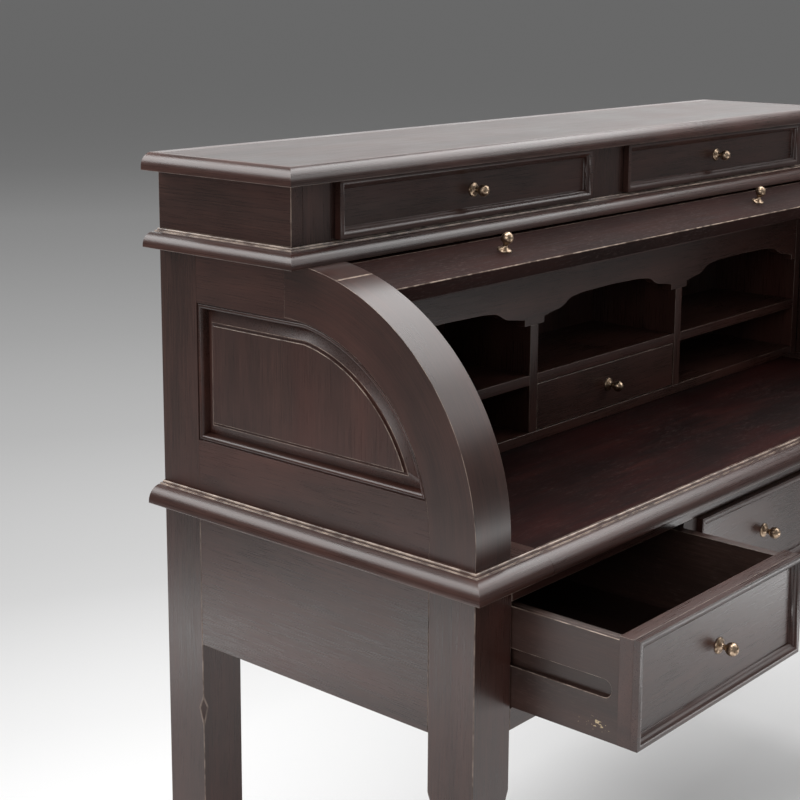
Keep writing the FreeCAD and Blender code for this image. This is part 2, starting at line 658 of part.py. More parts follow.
def bead_frame(x0, x1, y, z0, z1):
    """Four mitred strips with a rounded face, round the edge of a drawer front."""
    w = bead_frame_width
    p = bead_proud

    def strip_face(place):
        v = [place(0.0, 0.0), place(0.0, p - 3.0), place(3.0, p), place(7.0, p - 0.6), place(w - 3.0, 4.0),
             place(w, 2.5), place(w, 0.0)]
        edges = [
            Part.LineSegment(v[0], v[1]).toShape(),
            Part.Arc(v[1], place(0.9, p - 0.9), v[2]).toShape(),
            Part.LineSegment(v[2], v[3]).toShape(),
            Part.Arc(v[3], place(10.5, p - 3.6), v[4]).toShape(),
            Part.LineSegment(v[4], v[5]).toShape(),
            Part.LineSegment(v[5], v[6]).toShape(),
            Part.LineSegment(v[6], v[0]).toShape(),
        ]
        return Part.Face(Part.Wire(edges))

    long_way = FreeCAD.Vector(x1 - x0, 0, 0)
    up_way = FreeCAD.Vector(0, 0, z1 - z0)
    low = strip_face(lambda a, b: FreeCAD.Vector(x0, y - b, z0 + a)).extrude(long_way)
    high = strip_face(lambda a, b: FreeCAD.Vector(x0, y - b, z1 - a)).extrude(long_way)
    near = strip_face(lambda a, b: FreeCAD.Vector(x0 + a, y - b, z0)).extrude(up_way)
    far = strip_face(lambda a, b: FreeCAD.Vector(x1 - a, y - b, z0)).extrude(up_way)
    deep = (0, p + 4, 0)
    f = y - p - 2
    low_cut = plate([(x0, f, z0), (x0 + w, f, z0 + w), (x1 - w, f, z0 + w), (x1, f, z0)], deep)
    high_cut = plate([(x0, f, z1), (x0 + w, f, z1 - w), (x1 - w, f, z1 - w), (x1, f, z1)], deep)
    near_cut = plate([(x0, f, z0), (x0 + w, f, z0 + w), (x0 + w, f, z1 - w), (x0, f, z1)], deep)
    far_cut = plate([(x1, f, z0), (x1 - w, f, z0 + w), (x1 - w, f, z1 - w), (x1, f, z1)], deep)
    return [low.common(low_cut), high.common(high_cut), near.common(near_cut), far.common(far_cut)]


def drawer(name, x0, x1, y, z0, z1, length, side_drop, side, front_depth, framed, groove_level, shift):
    """Front, box and knob of one drawer; y is the front board's face when shut."""
    inside_back = y + front_depth + length
    side_top = z1 - side_drop
    front = block(x0, y, z0, x1, y + front_depth, z1)
    walls = [
        block(x0, y + front_depth, z0, x0 + side, inside_back, side_top),
        block(x1 - side, y + front_depth, z0, x1, inside_back, side_top),
        block(x0 + side, inside_back - side, z0, x1 - side, inside_back, side_top),
    ]
    floor_level = z0 + 7.0
    groove = 5.0
    floor = block(x0 + side - groove, y + front_depth - groove, floor_level, x1 - side + groove,
                  inside_back - side + groove, floor_level + drawer_bottom_thickness)
    front = front.cut(floor)
    walls = [wall.cut(floor) for wall in walls]
    if groove_level is not None:
        half = runner_height / 2.0 + runner_gap
        deep = runner_reach - drawer_gap + runner_gap
        start = y + front_depth + groove_setback
        for number, gx in ((0, x0), (1, x1 - deep)):
            slot = block(gx, start + half, groove_level - half, gx + deep, inside_back + 1, groove_level + half)
            rounded = round_bar(half, deep, (gx, start + half, groove_level), (1, 0, 0))
            walls[number] = walls[number].cut(slot).cut(rounded)
    pieces = [front]
    if framed:
        pieces += bead_frame(x0, x1, y, z0, z1)
    centre = ((x0 + x1) / 2.0, y, (z0 + z1) / 2.0)
    pieces[0] = front.cut(put(screw_hole(front_depth), centre, 90.0))
    knob = [put(piece, centre, 90.0) for piece in knob_set(front_depth)]
    move = FreeCAD.Vector(0, -shift, 0)
    for group, label in ((pieces, "_front"), (walls + [floor], "_box"), (knob, "_knob")):
        for piece in group:
            piece.translate(move)
        save(name + label, group)


upper_z0 = middle_top + drawer_gap
upper_z1 = case_top - drawer_gap
upper_length = back_inner - case_front - front_board - 6.0
upper_x0 = left + end_stile_width + drawer_gap
upper_x1 = -half_stile - drawer_gap
upper_side = 12.0
drawer("upper_drawer_left", upper_x0, upper_x1, case_front, upper_z0, upper_z1, upper_length, 10.0,
       upper_side, front_board, True, None, 0.0)
drawer("upper_drawer_right", -upper_x1, -upper_x0, case_front, upper_z0, upper_z1, upper_length, 10.0,
       upper_side, front_board, True, None, 0.0)

lower_length = apron_back_front - front_board - 12.0
lower_names = ("lower_drawer_left", "lower_drawer_centre", "lower_drawer_right")
for name, start, pulled in zip(lower_names, opening_starts, (left_drawer_pulled, 0.0, 0.0)):
    drawer(name, start + drawer_gap, start + opening_width - drawer_gap, 0.0, lower_drawer_bottom,
           lower_drawer_top, lower_length, 5.0, drawer_side_thickness, front_board, True, runner_level, pulled)

inner_gap = 1.2
inner_length = unit_depth - unit_back_board - 18.0 - 4.0
drawer("inner_drawer", -half_bay + inner_gap, half_bay - inner_gap, unit_front + 1.0,
       bay_floor + inner_gap, shelf_low - inner_gap, inner_length, 6.0, 9.0, inner_front_board, False, None, 0.0)
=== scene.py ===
import json
import math

import bmesh
import bpy
from mathutils import Matrix, Vector


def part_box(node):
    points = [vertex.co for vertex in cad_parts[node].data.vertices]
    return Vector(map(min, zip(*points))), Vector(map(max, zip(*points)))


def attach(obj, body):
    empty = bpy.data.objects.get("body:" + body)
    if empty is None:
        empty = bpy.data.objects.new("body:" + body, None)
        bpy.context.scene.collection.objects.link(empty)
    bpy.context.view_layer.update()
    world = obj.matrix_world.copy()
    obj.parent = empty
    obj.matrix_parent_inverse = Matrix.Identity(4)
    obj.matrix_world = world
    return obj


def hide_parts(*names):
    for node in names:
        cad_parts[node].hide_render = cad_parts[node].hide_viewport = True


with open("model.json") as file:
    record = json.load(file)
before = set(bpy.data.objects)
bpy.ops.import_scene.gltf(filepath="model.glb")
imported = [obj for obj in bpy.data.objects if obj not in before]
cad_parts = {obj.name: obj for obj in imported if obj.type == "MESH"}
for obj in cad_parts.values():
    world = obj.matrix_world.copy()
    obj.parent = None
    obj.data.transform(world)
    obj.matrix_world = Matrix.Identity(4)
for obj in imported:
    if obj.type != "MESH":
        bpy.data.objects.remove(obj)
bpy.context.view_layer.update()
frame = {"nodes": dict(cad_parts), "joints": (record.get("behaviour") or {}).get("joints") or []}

mm = 0.001

# ---- Legs -----------------------------------------------------------------------------------
# Four square solid legs, planed and stained, that run from the floor to the desk top. Each has
# a small diamond cut with a chisel across its inner edges, below the apron.
plank_count = 0
grain_shift = 3.7


def face_layer(bm, called):
    """The number of this name that each face carries, made when it is first wanted."""
    return bm.faces.layers.float.get(called) or bm.faces.layers.float.new(called)


def number_plank(bm, faces):
    """Give these faces the next plank number, so that their grain differs from the last."""
    global plank_count
    plank_count += 1
    plank = face_layer(bm, "plank")
    for face in faces:
        face[plank] = plank_count * grain_shift


def board(bm, low, high):
    """One straight board between two corners."""
    face_layer(bm, "plank")
    low, high = Vector(low), Vector(high)
    verts = bmesh.ops.create_cube(bm, size=1.0)["verts"]
    bmesh.ops.scale(bm, vec=high - low, verts=verts)
    bmesh.ops.translate(bm, vec=(low + high) / 2, verts=verts)
    number_plank(bm, {face for vert in verts for face in vert.link_faces})


def ease(bm, width, wear=1.0, steps=2, sharper_than=32.0, glued_at=None):
    """Take the sharp arris off every edge and mark the eased strip as worn."""
    worn = face_layer(bm, "worn")
    edges = []
    for edge in bm.edges:
        if glued_at is not None and all(abs(vert.co.x - glued_at) < 0.1 * mm for vert in edge.verts):
            continue
        if len(edge.link_faces) == 2 and math.degrees(edge.calc_face_angle()) > sharper_than:
            edges.append(edge)
    eased = bmesh.ops.bevel(bm, geom=edges, offset=width, offset_type="OFFSET", segments=steps,
                            profile=0.5, affect="EDGES", clamp_overlap=True, material=-1)
    for face in eased["faces"]:
        face[worn] = wear


def round_corners(bm, verts, radius, steps, clamped=False):
    """Round some corners of a flat outline, or cut them off with a single step."""
    return bmesh.ops.bevel(bm, geom=verts, offset=radius, offset_type="OFFSET", segments=steps,
                           profile=0.5, affect="VERTICES", clamp_overlap=clamped, material=-1)


def saw(bm, point, normal, part=None, clear=False):
    """Cut straight through; clear drops the side the normal points to and closes the cut."""
    cut = bmesh.ops.bisect_plane(bm, geom=part or bm.verts[:] + bm.edges[:] + bm.faces[:],
                                 plane_co=point, plane_no=normal, clear_outer=clear)
    if clear:
        rim = [line for line in cut["geom_cut"] if isinstance(line, bmesh.types.BMEdge)]
        bmesh.ops.contextual_create(bm, geom=rim)


def fit(bm, name, finish, *nodes, body="desk_case", slot="dark_stained_wood"):
    """Make the piece, give it its finish and put it on its body in place of the CAD nodes."""
    bmesh.ops.recalc_face_normals(bm, faces=bm.faces)
    for face in bm.faces:
        face.smooth = True
    mesh = bpy.data.meshes.new(name)
    bm.to_mesh(mesh)
    bm.free()
    mesh.set_sharp_from_angle(angle=math.radians(50))
    mesh.materials.append(finish)
    piece = bpy.data.objects.new(name, mesh)
    bpy.context.scene.collection.objects.link(piece)
    flats = piece.modifiers.new("flat faces stay flat", "WEIGHTED_NORMAL")
    flats.keep_sharp = True
    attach(piece, body)
    if nodes:
        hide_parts(*nodes)


def planed(name, finish, boards, arris, wear, steps, *nodes, body="desk_case"):
    """A piece of one or more straight boards with eased arrises."""
    bm = bmesh.new()
    for low, high in boards:
        board(bm, low, high)
    ease(bm, arris, wear, steps)
    fit(bm, name, finish, *nodes, body=body)


def dial(node, settings):
    """Set numbers and colours of a shader node by the names of its sockets."""
    for socket, value in settings.items():
        node.inputs[socket].default_value = value


def colour_ramp(tree, stops):
    """A ramp node with a colour at each of these places."""
    node = tree.nodes.new("ShaderNodeValToRGB")
    for place, colour in stops[1:-1]:
        node.color_ramp.elements.new(place)
    for stop, (place, colour) in zip(node.color_ramp.elements, stops):
        stop.position = place
        stop.color = (*colour, 1)
    return node


def stained_wood(name, run, tones, satin=0.30, flecks=0.0, follows=None, gloss=0.5, relief=0.14,
                 chips_at=None):
    """Dark stained hardwood under satin lacquer; run is the axis that the grain follows."""
    finish = bpy.data.materials.new(name)
    finish.use_nodes = True
    tree = finish.node_tree
    shader = tree.nodes["Principled BSDF"]
    link = tree.links.new
    bare_wood = (0.46, 0.36, 0.29, 1)
    scuffed_wood = (0.24, 0.18, 0.16, 1)
    chipped_wood = (0.50, 0.38, 0.22, 1)
    pore_black = (0.003, 0.002, 0.002, 1)

    def attribute(called):
        reader = tree.nodes.new("ShaderNodeAttribute")
        reader.attribute_name = called
        return reader

    def stretched(along, across):
        mapping = tree.nodes.new("ShaderNodeMapping")
        scale = [along if axis == run else across for axis in "XYZ"]
        dial(mapping, {"Scale": scale})
        link(place, mapping.inputs["Vector"])
        return mapping.outputs["Vector"]

    def noise(vector, detail, roughness=0.55, scale=1.0, distortion=0.0):
        texture = tree.nodes.new("ShaderNodeTexNoise")
        texture.noise_dimensions = "4D"
        dial(texture, {"Scale": scale, "Detail": detail, "Roughness": roughness, "Distortion": distortion})
        link(vector, texture.inputs["Vector"])
        link(plank, texture.inputs["W"])
        return texture.outputs["Fac"]

    def spread(value, low, high, to_low, to_high):
        turn = tree.nodes.new("ShaderNodeMapRange")
        dial(turn, {"From Min": low, "From Max": high, "To Min": to_low, "To Max": to_high})
        link(value, turn.inputs["Value"])
        return turn.outputs["Result"]

    def joined(first, second, how="ADD"):
        adder = tree.nodes.new("ShaderNodeMath")
        adder.operation = how
        link(first, adder.inputs[0])
        link(second, adder.inputs[1])
        return adder.outputs[0]

    def mixed(share, first, second, how="MIX"):
        mixer = tree.nodes.new("ShaderNodeMix")
        mixer.data_type = "RGBA"
        mixer.blend_type = how
        if isinstance(share, float):
            mixer.inputs["Factor"].default_value = share
        else:
            link(share, mixer.inputs["Factor"])
        link(first, mixer.inputs["A"])
        if isinstance(second, tuple):
            mixer.inputs["B"].default_value = second
        else:
            link(second, mixer.inputs["B"])
        return mixer.outputs["Result"]

    if follows:
        place = attribute(follows).outputs["Vector"]
    else:
        place = tree.nodes.new("ShaderNodeTexCoord").outputs["Object"]
    plank = attribute("plank").outputs["Fac"]
    fibre = noise(stretched(15.0, 850.0), 3.0, 0.6)
    figure = noise(stretched(1.5, 16.0), 4.0, 0.55, distortion=0.6)
    pore = noise(stretched(70.0, 1700.0), 1.0)
    cloud = noise(place, 3.0, scale=6.5)
    tone = colour_ramp(tree, list(zip((0.32, 0.50, 0.69), tones)))
    link(spread(joined(fibre, figure), 0.0, 2.0, 0.0, 1.0), tone.inputs["Fac"])
    shade = tree.nodes.new("ShaderNodeCombineColor")
    for channel in ("Red", "Green", "Blue"):
        link(spread(cloud, 0.3, 0.7, 0.72, 1.30 if channel == "Red" else 1.18), shade.inputs[channel])
    colour = mixed(1.0, tone.outputs["Color"], shade.outputs["Color"], "MULTIPLY")
    open_pore = spread(pore, 0.58, 0.76, 0.0, 0.40)
    colour = mixed(open_pore, colour, pore_black)
    redder = spread(noise(stretched(3.0, 14.0), 2.0), 0.46, 0.72, 0.0, 0.28)
    colour = mixed(redder, colour, (tones[2][0] * 1.05, tones[1][1], tones[1][2] * 0.9, 1))
    broken = spread(noise(place, 2.0, scale=55.0), 0.38, 0.62, 0.15, 0.85)
    rubbed = joined(attribute("worn").outputs["Fac"], broken, "MULTIPLY")
    colour = mixed(rubbed, colour, bare_wood)
    uneven = 0.4 * relief
    rough = joined(spread(fibre, 0.3, 0.7, satin - uneven, satin + uneven),
                   spread(cloud, 0.3, 0.7, -0.03, 0.03))
    if flecks:
        scuff = noise(stretched(75.0, 480.0), 3.0, 0.7)
        scuffed = spread(scuff, 0.54, 0.68, 0.0, flecks)
        patch = spread(noise(place, 2.0, scale=11.0), 0.38, 0.60, 0.15, 1.0)
        scuffed = joined(scuffed, patch, "MULTIPLY")
        colour = mixed(scuffed, colour, scuffed_wood)
    if chips_at:
        near = tree.nodes.new("ShaderNodeMapping")
        near.vector_type = "TEXTURE"
        dial(near, {"Location": chips_at, "Scale": (0.03, 0.042, 0.017)})
        link(place, near.inputs["Vector"])
        area = tree.nodes.new("ShaderNodeTexGradient")
        area.gradient_type = "SPHERICAL"
        link(near.outputs["Vector"], area.inputs["Vector"])
        inside = area.outputs["Fac"]
        speck = joined(noise(stretched(170.0, 330.0), 2.0, 0.6), spread(inside, 0.0, 1.0, 0.0, 0.20))
        chipped = joined(spread(speck, 0.74, 0.77, 0.0, 1.0), spread(inside, 0.0, 0.02, 0.0, 1.0), "MULTIPLY")
        colour = mixed(chipped, colour, chipped_wood)
    link(colour, shader.inputs["Base Color"])
    link(rough, shader.inputs["Roughness"])
    dial(shader, {"IOR": 1.5, "Specular IOR Level": gloss})
    height = joined(spread(fibre, 0.0, 1.0, 0.0, 0.6), spread(open_pore, 0.0, 0.75, 0.0, -0.9))
    bump = tree.nodes.new("ShaderNodeBump")
    dial(bump, {"Strength": relief, "Distance": 0.00025})
    link(height, bump.inputs["Height"])
    link(bump.outputs["Normal"], shader.inputs["Normal"])
    return finish


stain = ((0.015, 0.0068, 0.0052), (0.034, 0.0152, 0.0114), (0.062, 0.0268, 0.0196))
upright_wood = stained_wood("stained wood, upright grain", "Z", stain)

both_ends = (("left", -1), ("right", 1))
leg_level = 0.436
carve_half_height = 23 * mm
carve_half_width = 8 * mm
carve_widest = 4 * mm
for end, outward in both_ends:
    for row in ("front", "rear"):
        node = f"leg_{row}_{end}"
        low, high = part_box(node)
        bm = bmesh.new()
        board(bm, low, high)
        outer_x, inner_x = (low.x, high.x) if outward < 0 else (high.x, low.x)
        corners = [(outer_x, high.y), (inner_x, low.y)] if row == "front" else [(outer_x, low.y)]
        waist = leg_level + carve_widest
        saw(bm, (0, 0, waist), (0, 0, 1))
        for x, y in corners:
            nearest = min(bm.verts, key=lambda vert: (vert.co - Vector((x, y, waist))).length)
            cut = round_corners(bm, [nearest], carve_half_width, 1)
            facet = max(cut["faces"], key=lambda face: len(face.verts))
            sides = []
            for vert in facet.verts:
                if vert.co.z > waist + 1 * mm:
                    vert.co.z = leg_level + carve_half_height
                elif vert.co.z < waist - 1 * mm:
                    vert.co.z = leg_level - carve_half_height
                else:
                    sides.append(vert)
            bmesh.ops.connect_verts(bm, verts=sides)
        ease(bm, 1.3 * mm, 0.45)
        fit(bm, f"square_leg_{row}_{end}", upright_wood, node)

# ---- Aprons and front rails -----------------------------------------------------------------
# Deep side and back aprons tenoned between the legs, and narrow rails above and below the
# drawers. All are plain planed boards with the grain running along them.
across_wood = stained_wood("stained wood, grain across", "X", stain)
deep_wood = stained_wood("stained wood, grain front to back", "Y", stain)
for node, finish in (("apron_left", deep_wood), ("apron_right", deep_wood), ("apron_back", across_wood),
                     ("front_lower_rail", across_wood), ("front_upper_rail", across_wood)):
    planed(f"planed_{node}", finish, [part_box(node)], 0.9 * mm, 0.35, 2, node)

# ---- Drawer partitions and runners ----------------------------------------------------------
# Boards that part the three lower drawers and guide them, with runner strips glued to them.
# They are plain inside work, thinly stained and left dull.


def stain_node(node, finish):
    """Put a finish on a plain CAD piece that is kept as it is."""
    slots = frame["nodes"][node].data.materials
    slots.clear()
    slots.append(finish)


inside_tones = ((0.012, 0.007, 0.0055), (0.022, 0.012, 0.0095), (0.036, 0.018, 0.014))
inside_wood = stained_wood("thinly stained inside wood", "Y", inside_tones, satin=0.55)
for node in ("drawer_partitions", "drawer_runners", "back_panels", "lid_rear_guides", "lid_tongues"):
    stain_node(node, inside_wood)

# ---- Lower drawers --------------------------------------------------------------------------
# Each drawer is a dark stained box behind a solid front. A mitred bead is glued round the edge
# of the front, and a turned brass knob is screwed through its middle.


def outline_face(bm, points):
    """A flat face from a few corner points."""
    return bm.faces.new([bm.verts.new(point) for point in points])


def thicken(bm, face, way):
    """Give a flat face its thickness; returns the face that moved."""
    made = bmesh.ops.extrude_face_region(bm, geom=[face], use_keep_orig=True)["geom"]
    moved = [part for part in made if isinstance(part, bmesh.types.BMVert)]
    bmesh.ops.translate(bm, vec=way, verts=moved)
    return [part for part in made if isinstance(part, bmesh.types.BMFace)][0]


def edge_strip(bm, points, way, steps):
    """A mitred strip round an outline: way is its height, steps are (inwards, down) across it."""
    face_layer(bm, "plank")
    way = Vector(way)
    before = set(bm.faces)
    foot = outline_face(bm, points)
    crown = thicken(bm, foot, way)
    foot.normal_update()
    crown.normal_update()
    if crown.normal.dot(way) < 0:
        crown.normal_flip()
    for inwards, down in steps:
        bmesh.ops.inset_region(bm, faces=[crown], thickness=inwards, depth=-down, use_even_offset=True)
    whole_width = sum(inwards for inwards, down in steps)
    bmesh.ops.inset_region(bm, faces=[foot], thickness=whole_width, depth=0.0, use_even_offset=True)
    bmesh.ops.delete(bm, geom=[foot, crown], context="FACES_ONLY")
    strip = [face for face in bm.faces if face not in before]
    corners = list(dict.fromkeys(vert for face in strip for vert in face.verts))
    bmesh.ops.remove_doubles(bm, verts=corners, dist=0.15 * mm)
    number_plank(bm, [face for face in bm.faces if face not in before])


ball_middle = 19 * mm
screw_head_height = 2.4 * mm


def turned_knob(bm, spot, axis):
    """Round plate, waisted neck and ball, turned in one piece; axis is the way it stands out."""
    verts_before = set(bm.verts)
    outline = ((0.0, 0.0), (11.0, 0.0), (11.0, 1.2), (10.2, 2.2), (8.4, 2.9), (7.4, 3.0), (6.6, 4.0),
               (4.6, 4.9), (3.7, 6.6), (3.5, 8.6), (4.1, 10.2), (4.3, 11.0))
    chain = [bm.verts.new((radius * mm, 0, height * mm)) for radius, height in outline]
    for pair in zip(chain[:-1], chain[1:]):
        bm.edges.new(pair)
    centre = Vector((0, 0, ball_middle))
    start = math.degrees(math.atan2(chain[-1].co.x, centre.z - chain[-1].co.z))
    bmesh.ops.spin(bm, geom=[chain[-1]], cent=centre, axis=(0, -1, 0),
                   angle=math.radians(180 - start), steps=12)
    profile = [edge for edge in bm.edges if edge.verts[0] not in verts_before]
    points = [vert for vert in bm.verts if vert not in verts_before]
    for vert in points:
        if abs(vert.co.x) < 0.01 * mm:
            vert.co.x = 0.0
    bmesh.ops.spin(bm, geom=profile + points, cent=(0, 0, 0), axis=(0, 0, 1),
                   angle=math.radians(360), steps=36, use_merge=True)
    made = [vert for vert in bm.verts if vert not in verts_before]
    bmesh.ops.remove_doubles(bm, verts=made, dist=0.01 * mm)
    made = [vert for vert in bm.verts if vert not in verts_before]
    turn = Vector((0, 0, 1)).rotation_difference(Vector(axis)).to_matrix().to_4x4()
    bmesh.ops.transform(bm, matrix=Matrix.Translation(spot) @ turn, verts=made)


def screw_head(bm, spot, turn):
    """Countersunk head of the screw that holds a knob."""
    bmesh.ops.create_cone(bm, cap_ends=True, segments=20, radius1=3.2 * mm, radius2=4.2 * mm,
                          depth=screw_head_height, matrix=Matrix.Translation(spot) @ turn)


def aged_brass(name):
    """Aged yellow brass, mottled at random between brown and bright, and duller where it is brown."""
    finish = bpy.data.materials.new(name)
    finish.use_nodes = True
    tree = finish.node_tree
    link = tree.links.new
    shader = tree.nodes["Principled BSDF"]
    place = tree.nodes.new("ShaderNodeTexCoord")
    clouds = tree.nodes.new("ShaderNodeTexNoise")
    dial(clouds, {"Scale": 210.0, "Detail": 5.0})
    link(place.outputs["Object"], clouds.inputs["Vector"])
    tone = colour_ramp(tree, ((0.34, (0.13, 0.085, 0.055)), (0.62, (0.56, 0.42, 0.30))))
    link(clouds.outputs["Fac"], tone.inputs["Fac"])
    link(tone.outputs["Color"], shader.inputs["Base Color"])
    dull = tree.nodes.new("ShaderNodeMapRange")
    dial(dull, {"From Min": 0.3, "From Max": 0.7, "To Min": 0.48, "To Max": 0.24})
    link(clouds.outputs["Fac"], dull.inputs["Value"])
    link(dull.outputs["Result"], shader.inputs["Roughness"])
    dial(shader, {"Metallic": 1.0})
    dents = tree.nodes.new("ShaderNodeBump")
    dial(dents, {"Strength": 0.15, "Distance": 0.0002})
    link(clouds.outputs["Fac"], dents.inputs["Height"])
    link(dents.outputs["Normal"], shader.inputs["Normal"])
    return finish


brass = aged_brass("aged brass")
bead_steps = ((0.7 * mm, 0.0), (2.3 * mm, -0.9 * mm), (3.0 * mm, 0.2 * mm), (2.2 * mm, 1.1 * mm),
              (2.2 * mm, 2.6 * mm), (1.8 * mm, 2.6 * mm), (1.6 * mm, 0.8 * mm), (1.2 * mm, 3.2 * mm))
bead_proud = 9.6 * mm
front_thick = 20 * mm


def drawer_front(node, body, front_depth, finish):
    """Front board with its mitred bead; the knob reaches furthest forward, so it sets the plane."""
    low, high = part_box(node)
    face = high.y - front_depth
    bm = bmesh.new()
    board(bm, (low.x, face, low.z), (high.x, high.y, high.z))
    ease(bm, 0.4 * mm, 0.9, 1)
    worn = face_layer(bm, "worn")
    for front_face in bm.faces:
        if front_face.calc_center_median().z < high.z - 1 * mm:
            front_face[worn] = 0.0
    around = [(x, face, z) for x, z in ((low.x, low.z), (high.x, low.z), (high.x, high.z), (low.x, high.z))]
    edge_strip(bm, around, (0, -bead_proud, 0), bead_steps)
    fit(bm, f"beaded_{node}", finish, node, body=body)
    return Vector(((low.x + high.x) / 2, face, (low.z + high.z) / 2))


def drawer_knob(node, body, spot, board_depth):
    """Knob in front of the board, and the head of its screw behind."""
    bm = bmesh.new()
    turned_knob(bm, spot, (0, -1, 0))
    behind = spot + Vector((0, board_depth + screw_head_height / 2, 0))
    screw_head(bm, behind, Matrix.Rotation(math.radians(90), 4, "X"))
    fit(bm, f"turned_{node}", brass, node, body=body, slot="aged_brass")


def drawer_box(node, body, side, grooved=False, chipped=False):
    """Two sides, a back and a thin floor let into them; a groove outside runs on the runner."""
    low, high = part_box(node)
    finish = box_wood
    if chipped:
        finish = stained_wood("chipped drawer wood", "Y", box_tones, satin=0.38, flecks=0.12,
                              chips_at=(low.x, low.y + 32 * mm, low.z + 20 * mm))
    start = low.y + 4.3 * mm
    bm = bmesh.new()
    for outer, inwards in ((low.x, 1), (high.x, -1)):
        inner = outer + inwards * side
        if not grooved:
            board(bm, (min(outer, inner), start, low.z), (max(outer, inner), high.y, high.z))
            continue
        half = 11.6 * mm
        deep = 7.1 * mm
        level = (low.z + high.z) / 2
        blind_end = start + 9.7 * mm
        seam = outer + inwards * deep
        board(bm, (min(seam, inner), start, low.z), (max(seam, inner), high.y, high.z))
        outline = [(start, low.z), (high.y, low.z), (high.y, level - half), (blind_end, level - half),
                   (blind_end, level + half), (high.y, level + half), (high.y, high.z), (start, high.z)]
        layer = outline_face(bm, [(outer, y, z) for y, z in outline])
        round_corners(bm, [layer.verts[3], layer.verts[4]], half * 0.99, 8)
        layer = [face for face in bm.faces
                 if not face.tag and all(abs(vert.co.x - outer) < 0.01 * mm for vert in face.verts)]
        thicken(bm, layer[0], (inwards * deep, 0, 0))
        bmesh.ops.recalc_face_normals(bm, faces=bm.faces)
        ease(bm, 0.6 * mm, 0.9, 1, glued_at=seam)
        worn = face_layer(bm, "worn")
        for face in bm.faces:
            middle = face.calc_center_median()
            face.tag = True
            if middle.y < start + 1 * mm or middle.z < low.z + 1 * mm:
                face[worn] = 0.0
    board(bm, (low.x + side, high.y - side, low.z), (high.x - side, high.y, high.z))
    floor_level = low.z + 7 * mm
    board(bm, (low.x + side, start, floor_level), (high.x - side, high.y - side, floor_level + 6 * mm))
    if not grooved:
        ease(bm, 0.8 * mm, 0.5, 1)
    fit(bm, f"jointed_{node}", finish, node, body=body)


box_tones = ((0.012, 0.0070, 0.0054), (0.029, 0.0158, 0.0122), (0.052, 0.0280, 0.0215))
box_wood = stained_wood("rubbed drawer wood", "Y", box_tones, satin=0.38, flecks=0.12)
for side in ("left", "centre", "right"):
    body = f"lower_drawer_{side}"
    spot = drawer_front(f"{body}_front", body, front_thick, across_wood)
    drawer_knob(f"{body}_knob", body, spot, front_thick)
    drawer_box(f"{body}_box", body, 16 * mm, grooved=True, chipped=side == "left")

# ---- Desk top: fixed boards and rounded edges -----------------------------------------------
# Fixed boards at both ends and along the back, with a quarter round moulding mitred round the
# corners. The moulding has a small bead and a flat fillet on top, rubbed pale on their edges.
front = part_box("leg_front_left")[0].y
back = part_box("leg_rear_left")[1].y
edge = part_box("leg_front_left")[0].x
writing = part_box("top_end_board_left")[1].z
nose_out = 31 * mm
top_thick = 28 * mm
fillet_out = 9 * mm
bead_out = 4 * mm
bead_drop = 2.2 * mm
nose_drop = 4 * mm
past_mitre = 5 * mm


def rounded_edge(bm, start, along, out, thickness, mitre_start, mitre_end, beaded=True, root=0.0):
    """One run of moulded edge; start is its top inner corner, out the way it stands out."""
    face_layer(bm, "plank")
    worn = face_layer(bm, "worn")
    before = set(bm.faces)
    start, along, out = Vector(start), Vector(along), Vector(out)
    way = along.normalized()
    drop = nose_drop if beaded else 0.0
    outline = [(root, -thickness), (nose_out, -thickness), (nose_out, -drop)]
    if beaded:
        outline += [(fillet_out, -drop), (fillet_out, -bead_drop), (bead_out, -bead_drop), (bead_out, 0.0),
                    (root, 0.0)]
    else:
        outline += [(root + 1.3 * mm, 0.0), (root + 1.3 * mm, -3 * mm), (root, -3 * mm)]
    radius = min(thickness - drop - 2 * mm, nose_out - outline[3][0] - 0.5 * mm)
    first = start - way * (nose_out + past_mitre) * mitre_start
    run = along + way * (nose_out + past_mitre) * (mitre_start + mitre_end)
    verts = [bm.verts.new(first + out * reach + Vector((0, 0, height))) for reach, height in outline]
    bm.faces.new(verts)
    round_corners(bm, [verts[2]], radius, 14)
    round_corners(bm, [verts[1]], 0.9 * mm, 2)
    if beaded:
        round_corners(bm, [verts[6]], 1.8 * mm, 3)
        round_corners(bm, [verts[4], verts[3]], 0.4 * mm, 1)
    section = [face for face in bm.faces if face not in before][0]
    thicken(bm, section, run)
    for wanted, corner, normal in ((mitre_start, start, -(way + out)), (mitre_end, start + along, way - out)):
        if wanted:
            piece = [face for face in bm.faces if face not in before]
            geom = list(dict.fromkeys(vert for face in piece for vert in face.verts))
            geom += list(dict.fromkeys(line for face in piece for line in face.edges)) + piece
            saw(bm, corner, normal, geom, clear=True)
    made = [face for face in bm.faces if face not in before]
    number_plank(bm, made)
    for face in made:
        centre = face.calc_center_median()
        reach = (centre - start).dot(out)
        height = centre.z - start.z
        small = min(line.calc_length() for line in face.edges) < 1.3 * mm
        if beaded and small and reach < fillet_out + 1 * mm and height > -drop:
            face[worn] = 0.95
        elif small and reach > nose_out - 2 * mm and height < 1 * mm - thickness:
            face[worn] = 0.25


for end, outward in both_ends:
    x = edge if outward < 0 else -edge
    margin = abs(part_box("top_edge_left")[1].x - edge)
    bm = bmesh.new()
    rounded_edge(bm, (x, back, writing), (0, front - back, 0), (outward, 0, 0), top_thick, 0, 1)
    fit(bm, f"edge_side_{end}", deep_wood, f"top_edge_{end}")
    bm = bmesh.new()
    rounded_edge(bm, (x, front, writing), (-outward * margin, 0, 0), (0, -1, 0), top_thick, 1, 0)
    fit(bm, f"edge_corner_{end}", across_wood)
    stain_node(f"top_end_board_{end}", deep_wood)
stain_node("top_rear_board", across_wood)

